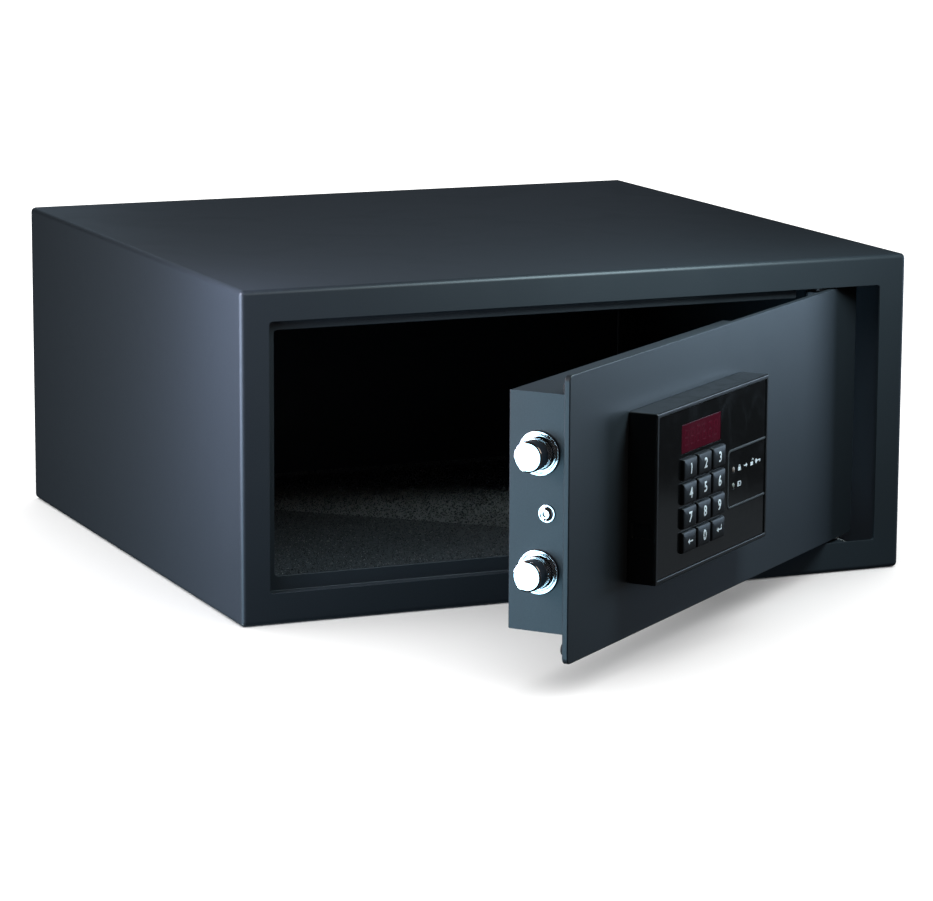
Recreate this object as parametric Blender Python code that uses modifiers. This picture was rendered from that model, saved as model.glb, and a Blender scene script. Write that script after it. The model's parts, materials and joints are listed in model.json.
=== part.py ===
"""In-room safe: a sheet steel body, a swinging door with a keypad, and motor-driven bolts.

Metres, +Z up. The origin is the centre of the underside, and the front faces -Y.
Door pieces are placed by three distances: u, along the door from its free edge towards the
hinge; n, backwards from the door's front face; and z, upwards. They hang from an empty on the
hinge axis, which holds the door partly open.
"""

import math

import bmesh
import bpy
from mathutils import Matrix, Vector

# Body
BODY_WIDTH = 0.430
BODY_DEPTH = 0.400
BODY_HEIGHT = 0.195
SHEET = 0.002
BODY_EDGE_RADIUS = 0.003
GAP = 0.0003
FRONT = -BODY_DEPTH / 2
BACK = BODY_DEPTH / 2
MIDDLE_Z = BODY_HEIGHT / 2
ANCHOR_RADIUS = 0.005
ANCHOR_XS = (-0.100, 0.100)
ANCHOR_BACK_Z = 0.120
MAT_THICKNESS = 0.003
MAT_MARGIN = 0.002
MAT_FRONT = 0.012

# Door opening and the stop frame behind it
OPENING_WIDTH = 0.395
OPENING_HEIGHT = 0.158
OPENING_RADIUS = 0.002
OPENING_LEFT = -OPENING_WIDTH / 2
OPENING_BOTTOM = MIDDLE_Z - OPENING_HEIGHT / 2
OPENING_TOP = MIDDLE_Z + OPENING_HEIGHT / 2
STOP_SHEET = 0.0015
STOP_DEPTH = 0.0065
STOP_LIP_SIDE = 0.0052
STOP_LIP_TOP = 0.0061
STOP_LIP_BOTTOM = 0.0087
STOP_END_X = 0.1435

# Door plate and hinge axis
DOOR_WIDTH = 0.3915
DOOR_HEIGHT = 0.156
DOOR_THICKNESS = 0.0035
DOOR_RADIUS = 0.0035
DOOR_INSET = 0.0005
DOOR_FREE_X = -0.1959
DOOR_BOTTOM = MIDDLE_Z - DOOR_HEIGHT / 2
DOOR_TOP = MIDDLE_Z + DOOR_HEIGHT / 2
PIVOT_U = 0.3585
PIVOT_N = 0.0092
PIVOT_X = DOOR_FREE_X + PIVOT_U
PIVOT_Y = FRONT + DOOR_INSET + PIVOT_N
OPEN_ANGLE = math.radians(38.55)
DOOR_BACK = DOOR_THICKNESS + GAP
CABLE_U = 0.145
CABLE_HOLE_RADIUS = 0.008
BUMPER_U = 0.0046
BUMPER_INSET_Z = 0.0076
BUMPER_RADIUS = 0.0037
BUMPER_HEIGHT = 0.0019

# Hinge pieces
PIN_RADIUS = 0.003
PIN_LENGTH = 0.012
PIN_HEAD_RADIUS = 0.0044
PIN_HEAD_HEIGHT = 0.0022
PIN_BORE = PIN_RADIUS + GAP
HINGE_CORNER = 0.003
HINGE_BUSH_RADIUS = 0.0055
HINGE_TAB_HALF = 0.009
HINGE_TAB_SHEET = 0.0025
HINGE_TAB_INSET = 0.002
HINGE_TAB_REACH = 0.008
HINGE_TAB_LEG = 0.016
HINGE_TAB_LEG_SHEET = 0.002
HINGE_BRACKET_OFFSET = 0.001
HINGE_BRACKET_HALF = 0.017
HINGE_BRACKET_REACH = 0.010
HINGE_BRACKET_LEG = 0.013

# Lock cover on the back of the door
COVER_FREE_U = 0.009
COVER_HINGE_U = 0.281
COVER_BACK_N = 0.0405
COVER_SHEET = 0.0015
COVER_HEIGHT = 0.130
LOCK_Z = 0.0985
COVER_LOW = LOCK_Z - COVER_HEIGHT / 2
COVER_HIGH = LOCK_Z + COVER_HEIGHT / 2
COVER_WALL_N = COVER_BACK_N - COVER_SHEET
COVER_FOLD = 0.001
COVER_SCREW_U = 0.268
COVER_SCREW_ZS = {"upper": COVER_HIGH - 0.013, "lower": COVER_LOW + 0.013}
COVER_SCREW_SHANK = 0.0015
COVER_SCREW_LENGTH = 0.0085
COVER_SCREW_HEAD_RADIUS = 0.0036
COVER_SCREW_HEAD_HEIGHT = 0.0016
STANDOFF_RADIUS = 0.004
STANDOFF_BORE_DEPTH = 0.009

# The chassis under the cover, and the screw that holds the cover's free end to it
CHASSIS_FREE_U = 0.014
CHASSIS_HINGE_U = 0.125
CHASSIS_HALF = 0.057
CHASSIS_LEAF = 0.002
CHASSIS_WELD = 0.0005
CHASSIS_TAB_HALF = 0.008
CHASSIS_TAB_REACH = 0.006
GUIDE_U = 0.038
GUIDE_HALF = 0.050
GUIDE_REACH = 0.013
SIDE_SCREW_N = 0.0175
SIDE_SCREW_SHANK = 0.002
SIDE_SCREW_HEAD = 0.00485
SIDE_SCREW_LENGTH = 0.0095

# Bolts, their bushings, and the motor with the rack that drives them
BOLT_RADIUS = 0.0085
BOLT_CLEARANCE = 0.0004
BOLT_N = 0.0223
BOLT_SPACING = 0.0645
BOLT_TIP_U = -0.005
BOLT_REAR_U = 0.056
BUSHING_BARREL = 0.0105
BUSHING_LENGTH = 0.011
BUSHING_FLANGE = 0.01215
BUSHING_LIP = 0.0015
BOLT_ZS = {"upper": LOCK_Z + BOLT_SPACING / 2, "lower": LOCK_Z - BOLT_SPACING / 2}
CARRIER_SHEET = 0.0025
CARRIER_HALF_N = 0.0085
CARRIER_OVERHANG = 0.011
CARRIER_CORNER = 0.003
RACK_THICKNESS = 0.004
GEAR_MODULE = 0.001
PINION_TEETH = 12
PINION_PITCH_RADIUS = GEAR_MODULE * PINION_TEETH / 2
TOOTH_ADDENDUM = 0.0009
TOOTH_DEDENDUM = 0.0013
RACK_TIP_HALF = 0.00035
RACK_ROOT_HALF = 0.00100
RACK_BACK = 0.009
PINION_ROOT_HALF_ANGLE = math.radians(7.5)
PINION_TIP_HALF_ANGLE = math.radians(3.6)
PINION_U = 0.090
RACK_PITCH_Z = LOCK_Z + 0.0045
PINION_Z = RACK_PITCH_Z - PINION_PITCH_RADIUS
RACK_TEETH_BEFORE = 6
RACK_TEETH_AFTER = 2
SHAFT_RADIUS = 0.002
SHAFT_TOP = 0.005
MOTOR_HALF = 0.012
MOTOR_BELOW_RACK = 0.0028
MOTOR_CAN_RADIUS = 0.006
MOTOR_CAN_END = 0.040

# Keypad unit on the front of the door
KEYPAD_LEFT = 0.071
KEYPAD_WIDTH = 0.149
KEYPAD_HEIGHT = 0.095
KEYPAD_DEPTH = 0.0175
KEYPAD_Z = 0.0978
KEYPAD_RIM = 0.0025
KEYPAD_WALL = 0.004
KEYPAD_EDGE = 0.0008
SLOT_Z = 0.080
SLOT_HEIGHT = 0.008
SLOT_DEPTH = 0.001
SLOT_FRONT_N = -0.0145
SLOT_BACK_N = -0.0030
KEYPAD_RIGHT = KEYPAD_LEFT + KEYPAD_WIDTH
KEYPAD_LOW = KEYPAD_Z - KEYPAD_HEIGHT / 2
KEYPAD_HIGH = KEYPAD_Z + KEYPAD_HEIGHT / 2
FASCIA_FRONT_N = -0.0168
FASCIA_THICKNESS = 0.0015
FASCIA_BACK_N = FASCIA_FRONT_N + FASCIA_THICKNESS
KEY_WIDTH = 0.0164
KEY_HEIGHT = 0.0118
KEY_PITCH_U = 0.0191
KEY_PITCH_Z = 0.01365
KEY_FIRST_U = 0.1120
KEY_FIRST_Z = 0.1090
KEY_FRONT_N = -0.0193
KEY_EDGE = 0.0008
KEY_FOOT = Vector((0.0008, 0, 0.0006))
KEY_FOOT_THICKNESS = 0.001
KEY_ROWS = (("1", "2", "3"), ("4", "5", "6"), ("7", "8", "9"), ("clear", "0", "enter"))
WINDOW_LOW = Vector((0.1040, 0, 0.1178))
WINDOW_HIGH = Vector((0.1552, 0, 0.1338))
LABEL_LOW = Vector((0.1660, 0, 0.0757))
LABEL_HIGH = Vector((0.2170, 0, 0.1090))
LABEL_DEPTH = 0.0006
LABEL_RADIUS = 0.0025
LED_U = 0.1742
LED_ZS = {"upper": 0.0972, "lower": 0.0880}
LED_RADIUS = 0.0016
LED_DOME = 0.0004
BOARD_N = -0.0100
BOARD_THICKNESS = 0.0016
BOARD_MARGIN = 0.005
BOARD_HOLE_RADIUS = 0.0016
MAT_SHEET = 0.0010
MAT_EDGE_U = 0.0095
MAT_EDGE_Z = 0.0065
DOME_RADIUS = 0.0035
DOME_HEIGHT = 0.0021

# Batteries in the back of the lock cover
CELL_RADIUS = 0.0071
CELL_LENGTH = 0.0500
CELL_PITCH = 0.0149
CELL_COUNT = 4
CELL_FREE_U = 0.1860
CELL_N = 0.0300
CELL_NUB = 0.001
CELL_NUB_RADIUS = 0.0027
CELL_EDGE = 0.0004
HOLDER_WALL = 0.0015
HOLDER_END_PLAY = 0.0006
BATTERY_LOW = Vector((0.1815, 0, LOCK_Z - 0.0335))
BATTERY_HIGH = Vector((0.2405, 0, LOCK_Z + 0.0335))
BATTERY_CORNER = 0.002
BATTERY_COVER_RISE = 0.0008
NOTCH_NEAR = 0.003
NOTCH_FAR = 0.006
NOTCH_HALF = 0.007

# How far a cutter reaches past what it cuts, and the sides of round shapes
CUT = 0.002
ROUND = 32
SMALL_ROUND = 24
FINE_ROUND = 16

COLOURS = {
    "graphite_coat": ((0.030, 0.038, 0.047), 0.45, 0.3),
    "carpet": ((0.025, 0.026, 0.028), 0.95, 0.0),
    "chrome": ((0.75, 0.76, 0.78), 0.12, 1.0),
    "zinc_steel": ((0.55, 0.56, 0.57), 0.35, 1.0),
    "nylon": ((0.55, 0.54, 0.50), 0.5, 0.0),
    "rubber": ((0.02, 0.02, 0.022), 0.8, 0.0),
    "gloss_black": ((0.010, 0.010, 0.012), 0.25, 0.0),
    "key_grey": ((0.045, 0.050, 0.055), 0.4, 0.0),
    "red_lens": ((0.20, 0.008, 0.03), 0.15, 0.0),
    "amber_led": ((0.5, 0.25, 0.03), 0.2, 0.0),
    "green_led": ((0.04, 0.3, 0.05), 0.2, 0.0),
    "board_green": ((0.02, 0.12, 0.05), 0.4, 0.0),
    "silicone": ((0.30, 0.30, 0.31), 0.7, 0.0),
    "black_plastic": ((0.015, 0.015, 0.016), 0.55, 0.0),
    "cell_sleeve": ((0.30, 0.22, 0.05), 0.35, 0.4),
}


def material(name):
    found = bpy.data.materials.get(name)
    if found:
        return found
    colour, roughness, metallic = COLOURS[name]
    made = bpy.data.materials.new(name)
    made.use_nodes = True
    shader = made.node_tree.nodes["Principled BSDF"]
    shader.inputs["Base Color"].default_value = (*colour, 1.0)
    shader.inputs["Roughness"].default_value = roughness
    shader.inputs["Metallic"].default_value = metallic
    made.diffuse_color = (*colour, 1.0)
    return made


def collection(name):
    made = bpy.data.collections.new(name)
    bpy.context.scene.collection.children.link(made)
    return made


def empty(name, location, angle=0.0, parent=None):
    made = bpy.data.objects.new(name, None)
    made.location = location
    made.rotation_euler = (0.0, 0.0, angle)
    made.parent = parent
    PARTS.objects.link(made)
    return made


def add(name, data, finish, parent=None, location=(0, 0, 0), rotation=(0, 0, 0)):
    """A visible piece from a mesh or a curve."""
    made = bpy.data.objects.new(name, data)
    made.parent = parent
    made.location = location
    made.rotation_euler = rotation
    if not data.materials:
        data.materials.append(material(finish))
    PARTS.objects.link(made)
    return made


def tool(name, data, parent=None, location=(0, 0, 0), rotation=(0, 0, 0)):
    """A hidden piece that a Boolean uses."""
    made = bpy.data.objects.new(name, data)
    made.parent = parent
    made.location = location
    made.rotation_euler = rotation
    made.hide_render = True
    made.display_type = "WIRE"
    CUTTERS.objects.link(made)
    return made


def boolean(piece, other, operation="DIFFERENCE"):
    modifier = piece.modifiers.new(other.name, "BOOLEAN")
    modifier.operation = operation
    modifier.solver = "EXACT"
    modifier.object = other


def block(low, high, radius=0.0, rounded=None, segments=3):
    """A shape maker: a box between two corners, with the edges that `rounded` picks rounded."""
    low, high = Vector(low), Vector(high)

    def build(mesh):
        size = Matrix.Diagonal((*(high - low), 1.0))
        centre = Matrix.Translation((low + high) / 2)
        points = bmesh.ops.create_cube(mesh, size=1.0, matrix=centre @ size)["verts"]
        if radius > 0.0:
            edges = {edge for point in points for edge in point.link_edges}
            chosen = [edge for edge in edges if rounded is None or rounded(edge)]
            chosen.sort(key=lambda edge: tuple((edge.verts[0].co + edge.verts[1].co)))
            bmesh.ops.bevel(mesh, geom=chosen, offset=radius, segments=segments, profile=0.5,
                            affect="EDGES", clamp_overlap=True)

    return build


def along(axis):
    """Picks the edges that run along one axis, 0 for X, 1 for Y and 2 for Z."""

    def test(edge):
        run = edge.verts[1].co - edge.verts[0].co
        return abs(run[axis]) > 0.99 * run.length

    return test


def rod(start, end, radius, segments=ROUND):
    """A shape maker: a round bar between two points."""
    start, end = Vector(start), Vector(end)

    def build(mesh):
        run = end - start
        turn = run.to_track_quat("Z", "Y").to_matrix().to_4x4()
        bmesh.ops.create_cone(mesh, cap_ends=True, segments=segments, radius1=radius,
                              radius2=radius, depth=run.length,
                              matrix=Matrix.Translation((start + end) / 2) @ turn)

    return build


def mesh_of(name, *shapes):
    data = bpy.data.meshes.new(name)
    mesh = bmesh.new()
    for shape in shapes:
        shape(mesh)
    mesh.to_mesh(data)
    mesh.free()
    return data


def in_door(u, n, z):
    """A point of the door, measured from the hinge axis empty."""
    return Vector((u - PIVOT_U, n - PIVOT_N, z))


TO_FREE_EDGE = (0.0, -math.pi / 2, 0.0)
TO_HINGE = (0.0, math.pi / 2, 0.0)
TO_BACK = (-math.pi / 2, 0.0, 0.0)
TO_FRONT = (math.pi / 2, 0.0, 0.0)
TO_FLOOR = (math.pi, 0.0, 0.0)


def turned(name, profile, finish, parent, location, rotation=(0, 0, 0), closed=False,
           segments=ROUND):
    """A turned piece. The profile lists (radius, height) down the outer side, from the top."""
    data = bpy.data.meshes.new(name)
    mesh = bmesh.new()
    points = [mesh.verts.new((radius, 0.0, height)) for radius, height in profile]
    for first, second in zip(points, points[1:] + points[:1] if closed else points[1:]):
        mesh.edges.new((first, second))
    mesh.to_mesh(data)
    mesh.free()
    made = add(name, data, finish, parent, location, rotation)
    screw = made.modifiers.new("turn", "SCREW")
    screw.axis = "Z"
    screw.angle = 2 * math.pi
    screw.steps = screw.render_steps = segments
    screw.use_merge_vertices = True
    screw.merge_threshold = 0.00001
    screw.use_smooth_shade = True
    return made


def tube_profile(outer, inner, top, bottom):
    return [(outer, top), (outer, bottom), (inner, bottom), (inner, top)]


def flat_outline(name, points, thickness, finish, parent, location, rotation, hole=()):
    """A plate with the outline of the (x, y) points, centred on its own plane."""
    data = bpy.data.curves.new(name, "CURVE")
    data.dimensions = "2D"
    data.fill_mode = "BOTH"
    data.extrude = thickness / 2
    for ring in filter(None, (points, hole)):
        spline = data.splines.new("POLY")
        spline.points.add(len(ring) - 1)
        for slot, (x, y) in zip(spline.points, ring):
            slot.co = (x, y, 0.0, 1.0)
        spline.use_cyclic_u = True
    return add(name, data, finish, parent, location, rotation)


# ---------------------------------------------------------------- body


def body_shell():
    half = BODY_WIDTH / 2
    piece = add("body_shell", mesh_of("body_shell", block(
        (-half, FRONT, 0), (half, BACK, BODY_HEIGHT), BODY_EDGE_RADIUS,
        lambda edge: min(point.co.y for point in edge.verts) < 0)), "graphite_coat")
    cavity = block((-half + SHEET, FRONT + SHEET, SHEET),
                   (half - SHEET, BACK + SHEET, BODY_HEIGHT - SHEET))
    opening = block((OPENING_LEFT, FRONT - SHEET, OPENING_BOTTOM),
                    (-OPENING_LEFT, FRONT + 2 * SHEET, OPENING_TOP), OPENING_RADIUS, along(1))
    anchors = [rod((x, 0.0, -SHEET), (x, 0.0, 2 * SHEET), ANCHOR_RADIUS, SMALL_ROUND)
               for x in ANCHOR_XS]
    boolean(piece, tool("body_cavity", mesh_of("body_cavity", cavity)))
    boolean(piece, tool("door_opening", mesh_of("door_opening", opening)))
    boolean(piece, tool("base_anchor_holes", mesh_of("base_anchor_holes", *anchors)))


def back_panel():
    side = BODY_WIDTH / 2 - SHEET - GAP
    piece = add("back_panel", mesh_of("back_panel", block(
        (-side, BACK - SHEET, SHEET + GAP), (side, BACK, BODY_HEIGHT - SHEET - GAP))),
        "graphite_coat")
    anchors = [rod((x, BACK - 2 * SHEET, ANCHOR_BACK_Z), (x, BACK + SHEET, ANCHOR_BACK_Z),
                   ANCHOR_RADIUS, SMALL_ROUND) for x in ANCHOR_XS]
    boolean(piece, tool("back_anchor_holes", mesh_of("back_anchor_holes", *anchors)))


def door_stop_frame():
    """A three-sided frame behind the opening. It ends short of the hinge."""
    face = FRONT + STOP_DEPTH
    beyond = STOP_END_X + 0.010
    piece = add("door_stop_frame", mesh_of("door_stop_frame", block(
        (OPENING_LEFT - STOP_SHEET, FRONT + SHEET + GAP, OPENING_BOTTOM - STOP_SHEET),
        (STOP_END_X, face + STOP_SHEET, OPENING_TOP + STOP_SHEET))), "graphite_coat")
    recess = block((OPENING_LEFT, FRONT, OPENING_BOTTOM), (beyond, face, OPENING_TOP),
                   OPENING_RADIUS, along(1))
    passage = block((OPENING_LEFT + STOP_LIP_SIDE, FRONT, OPENING_BOTTOM + STOP_LIP_BOTTOM),
                    (beyond, face + 2 * STOP_SHEET, OPENING_TOP - STOP_LIP_TOP),
                    OPENING_RADIUS, along(1))
    boolean(piece, tool("stop_recess", mesh_of("stop_recess", recess)))
    boolean(piece, tool("stop_passage", mesh_of("stop_passage", passage)))


def floor_mat():
    side = BODY_WIDTH / 2 - SHEET - MAT_MARGIN
    low = Vector((-side, FRONT + MAT_FRONT, SHEET + GAP))
    high = Vector((side, BACK - SHEET - MAT_MARGIN, low.z + MAT_THICKNESS))
    add("floor_mat", mesh_of("floor_mat", block(low, high, MAT_MARGIN, along(2))), "carpet")


def hinge_bracket(name, opening_z, up):
    """An angle behind the front flange. Its level leaf holds the hinge pin."""
    near = opening_z + up * HINGE_BRACKET_OFFSET
    far = near + up * HINGE_TAB_SHEET
    leg_end = near + up * HINGE_BRACKET_LEG
    front = FRONT + SHEET + GAP
    leaf = block((PIVOT_X - HINGE_BRACKET_HALF, front, min(near, far)),
                 (PIVOT_X + HINGE_BRACKET_HALF, PIVOT_Y + HINGE_BRACKET_REACH, max(near, far)),
                 HINGE_CORNER, along(2))
    leg = block((PIVOT_X - HINGE_BRACKET_HALF, front, min(near, leg_end)),
                (PIVOT_X + HINGE_BRACKET_HALF, front + HINGE_TAB_SHEET, max(near, leg_end)))
    piece = add(name, mesh_of(name, leg), "graphite_coat")
    boolean(piece, tool(name + "_leaf", mesh_of(name + "_leaf", leaf)), "UNION")
    bore = rod((PIVOT_X, PIVOT_Y, near - up * CUT), (PIVOT_X, PIVOT_Y, far + up * CUT),
               PIN_BORE, SMALL_ROUND)
    boolean(piece, tool(name + "_bore", mesh_of(name + "_bore", bore)))
    return far


def hinge_pin(name, bracket_far, up):
    """A headed pin. It enters from the bracket's far side and ends inside the door's tab."""
    top, chamfer = PIN_HEAD_HEIGHT + GAP, 0.0004
    profile = [(0.0, top), (PIN_HEAD_RADIUS - chamfer, top), (PIN_HEAD_RADIUS, top - chamfer),
               (PIN_HEAD_RADIUS, GAP), (PIN_RADIUS, GAP), (PIN_RADIUS, 2 * chamfer - PIN_LENGTH),
               (PIN_RADIUS - 2 * chamfer, -PIN_LENGTH), (0.0, -PIN_LENGTH)]
    turned(name, profile, "zinc_steel", None, (PIVOT_X, PIVOT_Y, bracket_far),
           (0, 0, 0) if up > 0 else TO_FLOOR, segments=SMALL_ROUND)


# ---------------------------------------------------------------- door


def door_plate():
    piece = add("door_plate", mesh_of("door_plate", block(
        in_door(0, 0, DOOR_BOTTOM), in_door(DOOR_WIDTH, DOOR_THICKNESS, DOOR_TOP),
        DOOR_RADIUS, along(1), 4)), "graphite_coat", DOOR)
    hole = rod(in_door(CABLE_U, -CUT, KEYPAD_Z), in_door(CABLE_U, DOOR_THICKNESS + CUT, KEYPAD_Z),
               CABLE_HOLE_RADIUS, SMALL_ROUND)
    boolean(piece, tool("cable_hole", mesh_of("cable_hole", hole), DOOR))


def hinge_tab(name, edge_z, down):
    """An angle on the back of the door plate. Its level leaf turns on the hinge pin."""
    near = edge_z + down * HINGE_TAB_INSET
    far = near + down * HINGE_TAB_SHEET
    leg_end = near + down * HINGE_TAB_LEG
    leaf = block(in_door(PIVOT_U - HINGE_TAB_HALF, DOOR_BACK, min(near, far)),
                 in_door(PIVOT_U + HINGE_TAB_HALF, PIVOT_N + HINGE_TAB_REACH, max(near, far)),
                 HINGE_CORNER, along(2))
    leg = block(in_door(PIVOT_U - HINGE_TAB_HALF, DOOR_BACK, min(near, leg_end)),
                in_door(PIVOT_U + HINGE_TAB_HALF, DOOR_BACK + HINGE_TAB_LEG_SHEET,
                        max(near, leg_end)))
    piece = add(name, mesh_of(name, leg), "graphite_coat", DOOR)
    boolean(piece, tool(name + "_leaf", mesh_of(name + "_leaf", leaf), DOOR), "UNION")
    bore = rod(in_door(PIVOT_U, PIVOT_N, near - down * CUT),
               in_door(PIVOT_U, PIVOT_N, far + down * CUT), PIN_BORE, SMALL_ROUND)
    boolean(piece, tool(name + "_bore", mesh_of(name + "_bore", bore), DOOR))
    return near


def hinge_bush(name, tab_near, bracket_near):
    low, high = sorted((tab_near, bracket_near))
    turned(name, tube_profile(HINGE_BUSH_RADIUS, PIN_BORE, high - GAP, low + GAP), "nylon", DOOR,
           in_door(PIVOT_U, PIVOT_N, 0), closed=True, segments=SMALL_ROUND)


def lock_cover():
    """A box of folded sheet over the lock, open towards the door plate."""
    low = in_door(COVER_FREE_U, DOOR_BACK, COVER_LOW)
    high = in_door(COVER_HINGE_U, COVER_BACK_N, COVER_HIGH)
    piece = add("lock_cover", mesh_of("lock_cover", block(
        low, high, COVER_FOLD, lambda edge: min(p.co.y for p in edge.verts) > low.y + COVER_FOLD,
        2)), "graphite_coat", DOOR)
    wall = Vector((COVER_SHEET,) * 3)
    inside = block(low + wall - Vector((0, 2 * COVER_SHEET, 0)), high - wall, COVER_FOLD / 2,
                   along(2))
    before, behind = COVER_FREE_U - CUT, COVER_FREE_U + COVER_SHEET + CUT
    bolt_holes = [rod(in_door(before, BOLT_N, z), in_door(behind, BOLT_N, z),
                      BUSHING_BARREL + BOLT_CLEARANCE) for z in BOLT_ZS.values()]
    screw_hole = rod(in_door(before, SIDE_SCREW_N, LOCK_Z), in_door(behind, SIDE_SCREW_N, LOCK_Z),
                     SIDE_SCREW_SHANK + GAP, SMALL_ROUND)
    within, beyond = COVER_WALL_N - CUT, COVER_BACK_N + CUT
    rear_holes = [rod(in_door(COVER_SCREW_U, within, z), in_door(COVER_SCREW_U, beyond, z),
                      COVER_SCREW_SHANK + GAP, SMALL_ROUND) for z in COVER_SCREW_ZS.values()]
    battery_hole = block(in_door(BATTERY_LOW.x, within, BATTERY_LOW.z),
                         in_door(BATTERY_HIGH.x, beyond, BATTERY_HIGH.z),
                         BATTERY_CORNER, along(1))
    boolean(piece, tool("cover_inside", mesh_of("cover_inside", inside), DOOR))
    boolean(piece, tool("cover_holes", mesh_of(
        "cover_holes", *bolt_holes, screw_hole, *rear_holes, battery_hole), DOOR))


def lock_chassis():
    """The plate under the cover, with a guide for the bolts and a tab for the side screw."""
    floor_n = DOOR_BACK + COVER_SHEET
    base = block(in_door(CHASSIS_FREE_U, DOOR_BACK, LOCK_Z - CHASSIS_HALF),
                 in_door(CHASSIS_HINGE_U, floor_n, LOCK_Z + CHASSIS_HALF))
    guide = block(in_door(GUIDE_U, floor_n - CHASSIS_WELD, LOCK_Z - GUIDE_HALF),
                  in_door(GUIDE_U + CHASSIS_LEAF, BOLT_N + GUIDE_REACH, LOCK_Z + GUIDE_HALF))
    tab = block(in_door(CHASSIS_FREE_U, floor_n - CHASSIS_WELD, LOCK_Z - CHASSIS_TAB_HALF),
                in_door(CHASSIS_FREE_U + CHASSIS_LEAF, SIDE_SCREW_N + CHASSIS_TAB_REACH,
                        LOCK_Z + CHASSIS_TAB_HALF))
    piece = add("lock_chassis", mesh_of("lock_chassis", base), "zinc_steel", DOOR)
    boolean(piece, tool("chassis_leaves", mesh_of("chassis_leaves", guide, tab), DOOR), "UNION")
    before, behind = GUIDE_U - CUT, GUIDE_U + CHASSIS_LEAF + CUT
    holes = [rod(in_door(before, BOLT_N, z), in_door(behind, BOLT_N, z), BOLT_RADIUS + 2 * GAP)
             for z in BOLT_ZS.values()]
    screw_hole = rod(in_door(CHASSIS_FREE_U - CUT, SIDE_SCREW_N, LOCK_Z),
                     in_door(CHASSIS_FREE_U + CHASSIS_LEAF + CUT, SIDE_SCREW_N, LOCK_Z),
                     SIDE_SCREW_SHANK + GAP, SMALL_ROUND)
    boolean(piece, tool("chassis_holes", mesh_of("chassis_holes", *holes, screw_hole), DOOR))


def bolt_bushings():
    bore, chamfer = BOLT_RADIUS + BOLT_CLEARANCE, 0.0004
    profile = [(BUSHING_FLANGE - chamfer, BUSHING_LIP), (BUSHING_FLANGE, BUSHING_LIP - chamfer),
               (BUSHING_FLANGE, GAP), (BUSHING_BARREL, GAP), (BUSHING_BARREL, -BUSHING_LENGTH),
               (bore, -BUSHING_LENGTH), (bore, BUSHING_LIP)]
    for side, z in BOLT_ZS.items():
        turned(side + "_bolt_bushing", profile, "chrome", DOOR,
               in_door(COVER_FREE_U, BOLT_N, z), TO_FREE_EDGE, closed=True)


def side_screw():
    """A domed screw with a round recess in its head."""
    profile = [(0.0, 0.0016), (0.0019, 0.0016), (0.0024, 0.0026), (0.0036, 0.0024),
               (0.0045, 0.0016), (SIDE_SCREW_HEAD, 0.0009), (SIDE_SCREW_HEAD, GAP),
               (SIDE_SCREW_SHANK, GAP), (SIDE_SCREW_SHANK, -SIDE_SCREW_LENGTH),
               (0.0, -SIDE_SCREW_LENGTH)]
    turned("side_screw", profile, "chrome", DOOR,
           in_door(COVER_FREE_U, SIDE_SCREW_N, LOCK_Z), TO_FREE_EDGE, segments=SMALL_ROUND)


def door_bumpers():
    profile = [(0.0, BUMPER_HEIGHT), (0.54 * BUMPER_RADIUS, 0.95 * BUMPER_HEIGHT),
               (0.86 * BUMPER_RADIUS, 0.63 * BUMPER_HEIGHT), (BUMPER_RADIUS, 0.26 * BUMPER_HEIGHT),
               (BUMPER_RADIUS, 0.0), (0.0, 0.0)]
    for side, z in (("upper", DOOR_TOP - BUMPER_INSET_Z), ("lower", DOOR_BOTTOM + BUMPER_INSET_Z)):
        turned(side + "_bumper", profile, "rubber", DOOR, in_door(BUMPER_U, DOOR_BACK, z),
               TO_BACK, segments=FINE_ROUND)


def cover_fixings():
    """Two standoffs on the door plate, and the screws that hold the cover's hinge end to them."""
    top, bore = COVER_WALL_N - GAP, COVER_SCREW_SHANK + GAP
    post = [(0.0, top - STANDOFF_BORE_DEPTH), (bore, top - STANDOFF_BORE_DEPTH), (bore, top),
            (STANDOFF_RADIUS, top), (STANDOFF_RADIUS, DOOR_BACK), (0.0, DOOR_BACK)]
    crown = COVER_SCREW_HEAD_HEIGHT + GAP
    screw = [(0.0, crown), (0.6 * COVER_SCREW_HEAD_RADIUS, crown),
             (0.94 * COVER_SCREW_HEAD_RADIUS, COVER_SCREW_HEAD_HEIGHT),
             (COVER_SCREW_HEAD_RADIUS, GAP), (COVER_SCREW_SHANK, GAP),
             (COVER_SCREW_SHANK, -COVER_SCREW_LENGTH), (0.0, -COVER_SCREW_LENGTH)]
    for side, z in COVER_SCREW_ZS.items():
        turned(side + "_cover_standoff", post, "zinc_steel", DOOR,
               in_door(COVER_SCREW_U, 0, z), TO_BACK, segments=FINE_ROUND)
        turned(side + "_cover_screw", screw, "zinc_steel", DOOR,
               in_door(COVER_SCREW_U, COVER_BACK_N, z), TO_BACK, segments=FINE_ROUND)


def gear_motor():
    """A right-angle gearbox with its motor can hanging below."""
    front = DOOR_BACK + COVER_SHEET + GAP
    back = BOLT_N - RACK_THICKNESS / 2 - MOTOR_BELOW_RACK
    box = block(in_door(PINION_U - MOTOR_HALF, front, PINION_Z - MOTOR_HALF),
                in_door(PINION_U + MOTOR_HALF, back, PINION_Z + MOTOR_HALF), MOTOR_HALF / 10)
    piece = add("gear_motor", mesh_of("gear_motor", box), "zinc_steel", DOOR)
    middle = (front + back) / 2
    can = rod(in_door(PINION_U, middle, PINION_Z - MOTOR_HALF + 0.001),
              in_door(PINION_U, middle, PINION_Z - MOTOR_CAN_END), MOTOR_CAN_RADIUS, SMALL_ROUND)
    boolean(piece, tool("motor_can", mesh_of("motor_can", can), DOOR), "UNION")
    return back


# ---------------------------------------------------------------- bolts and their drive


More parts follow.
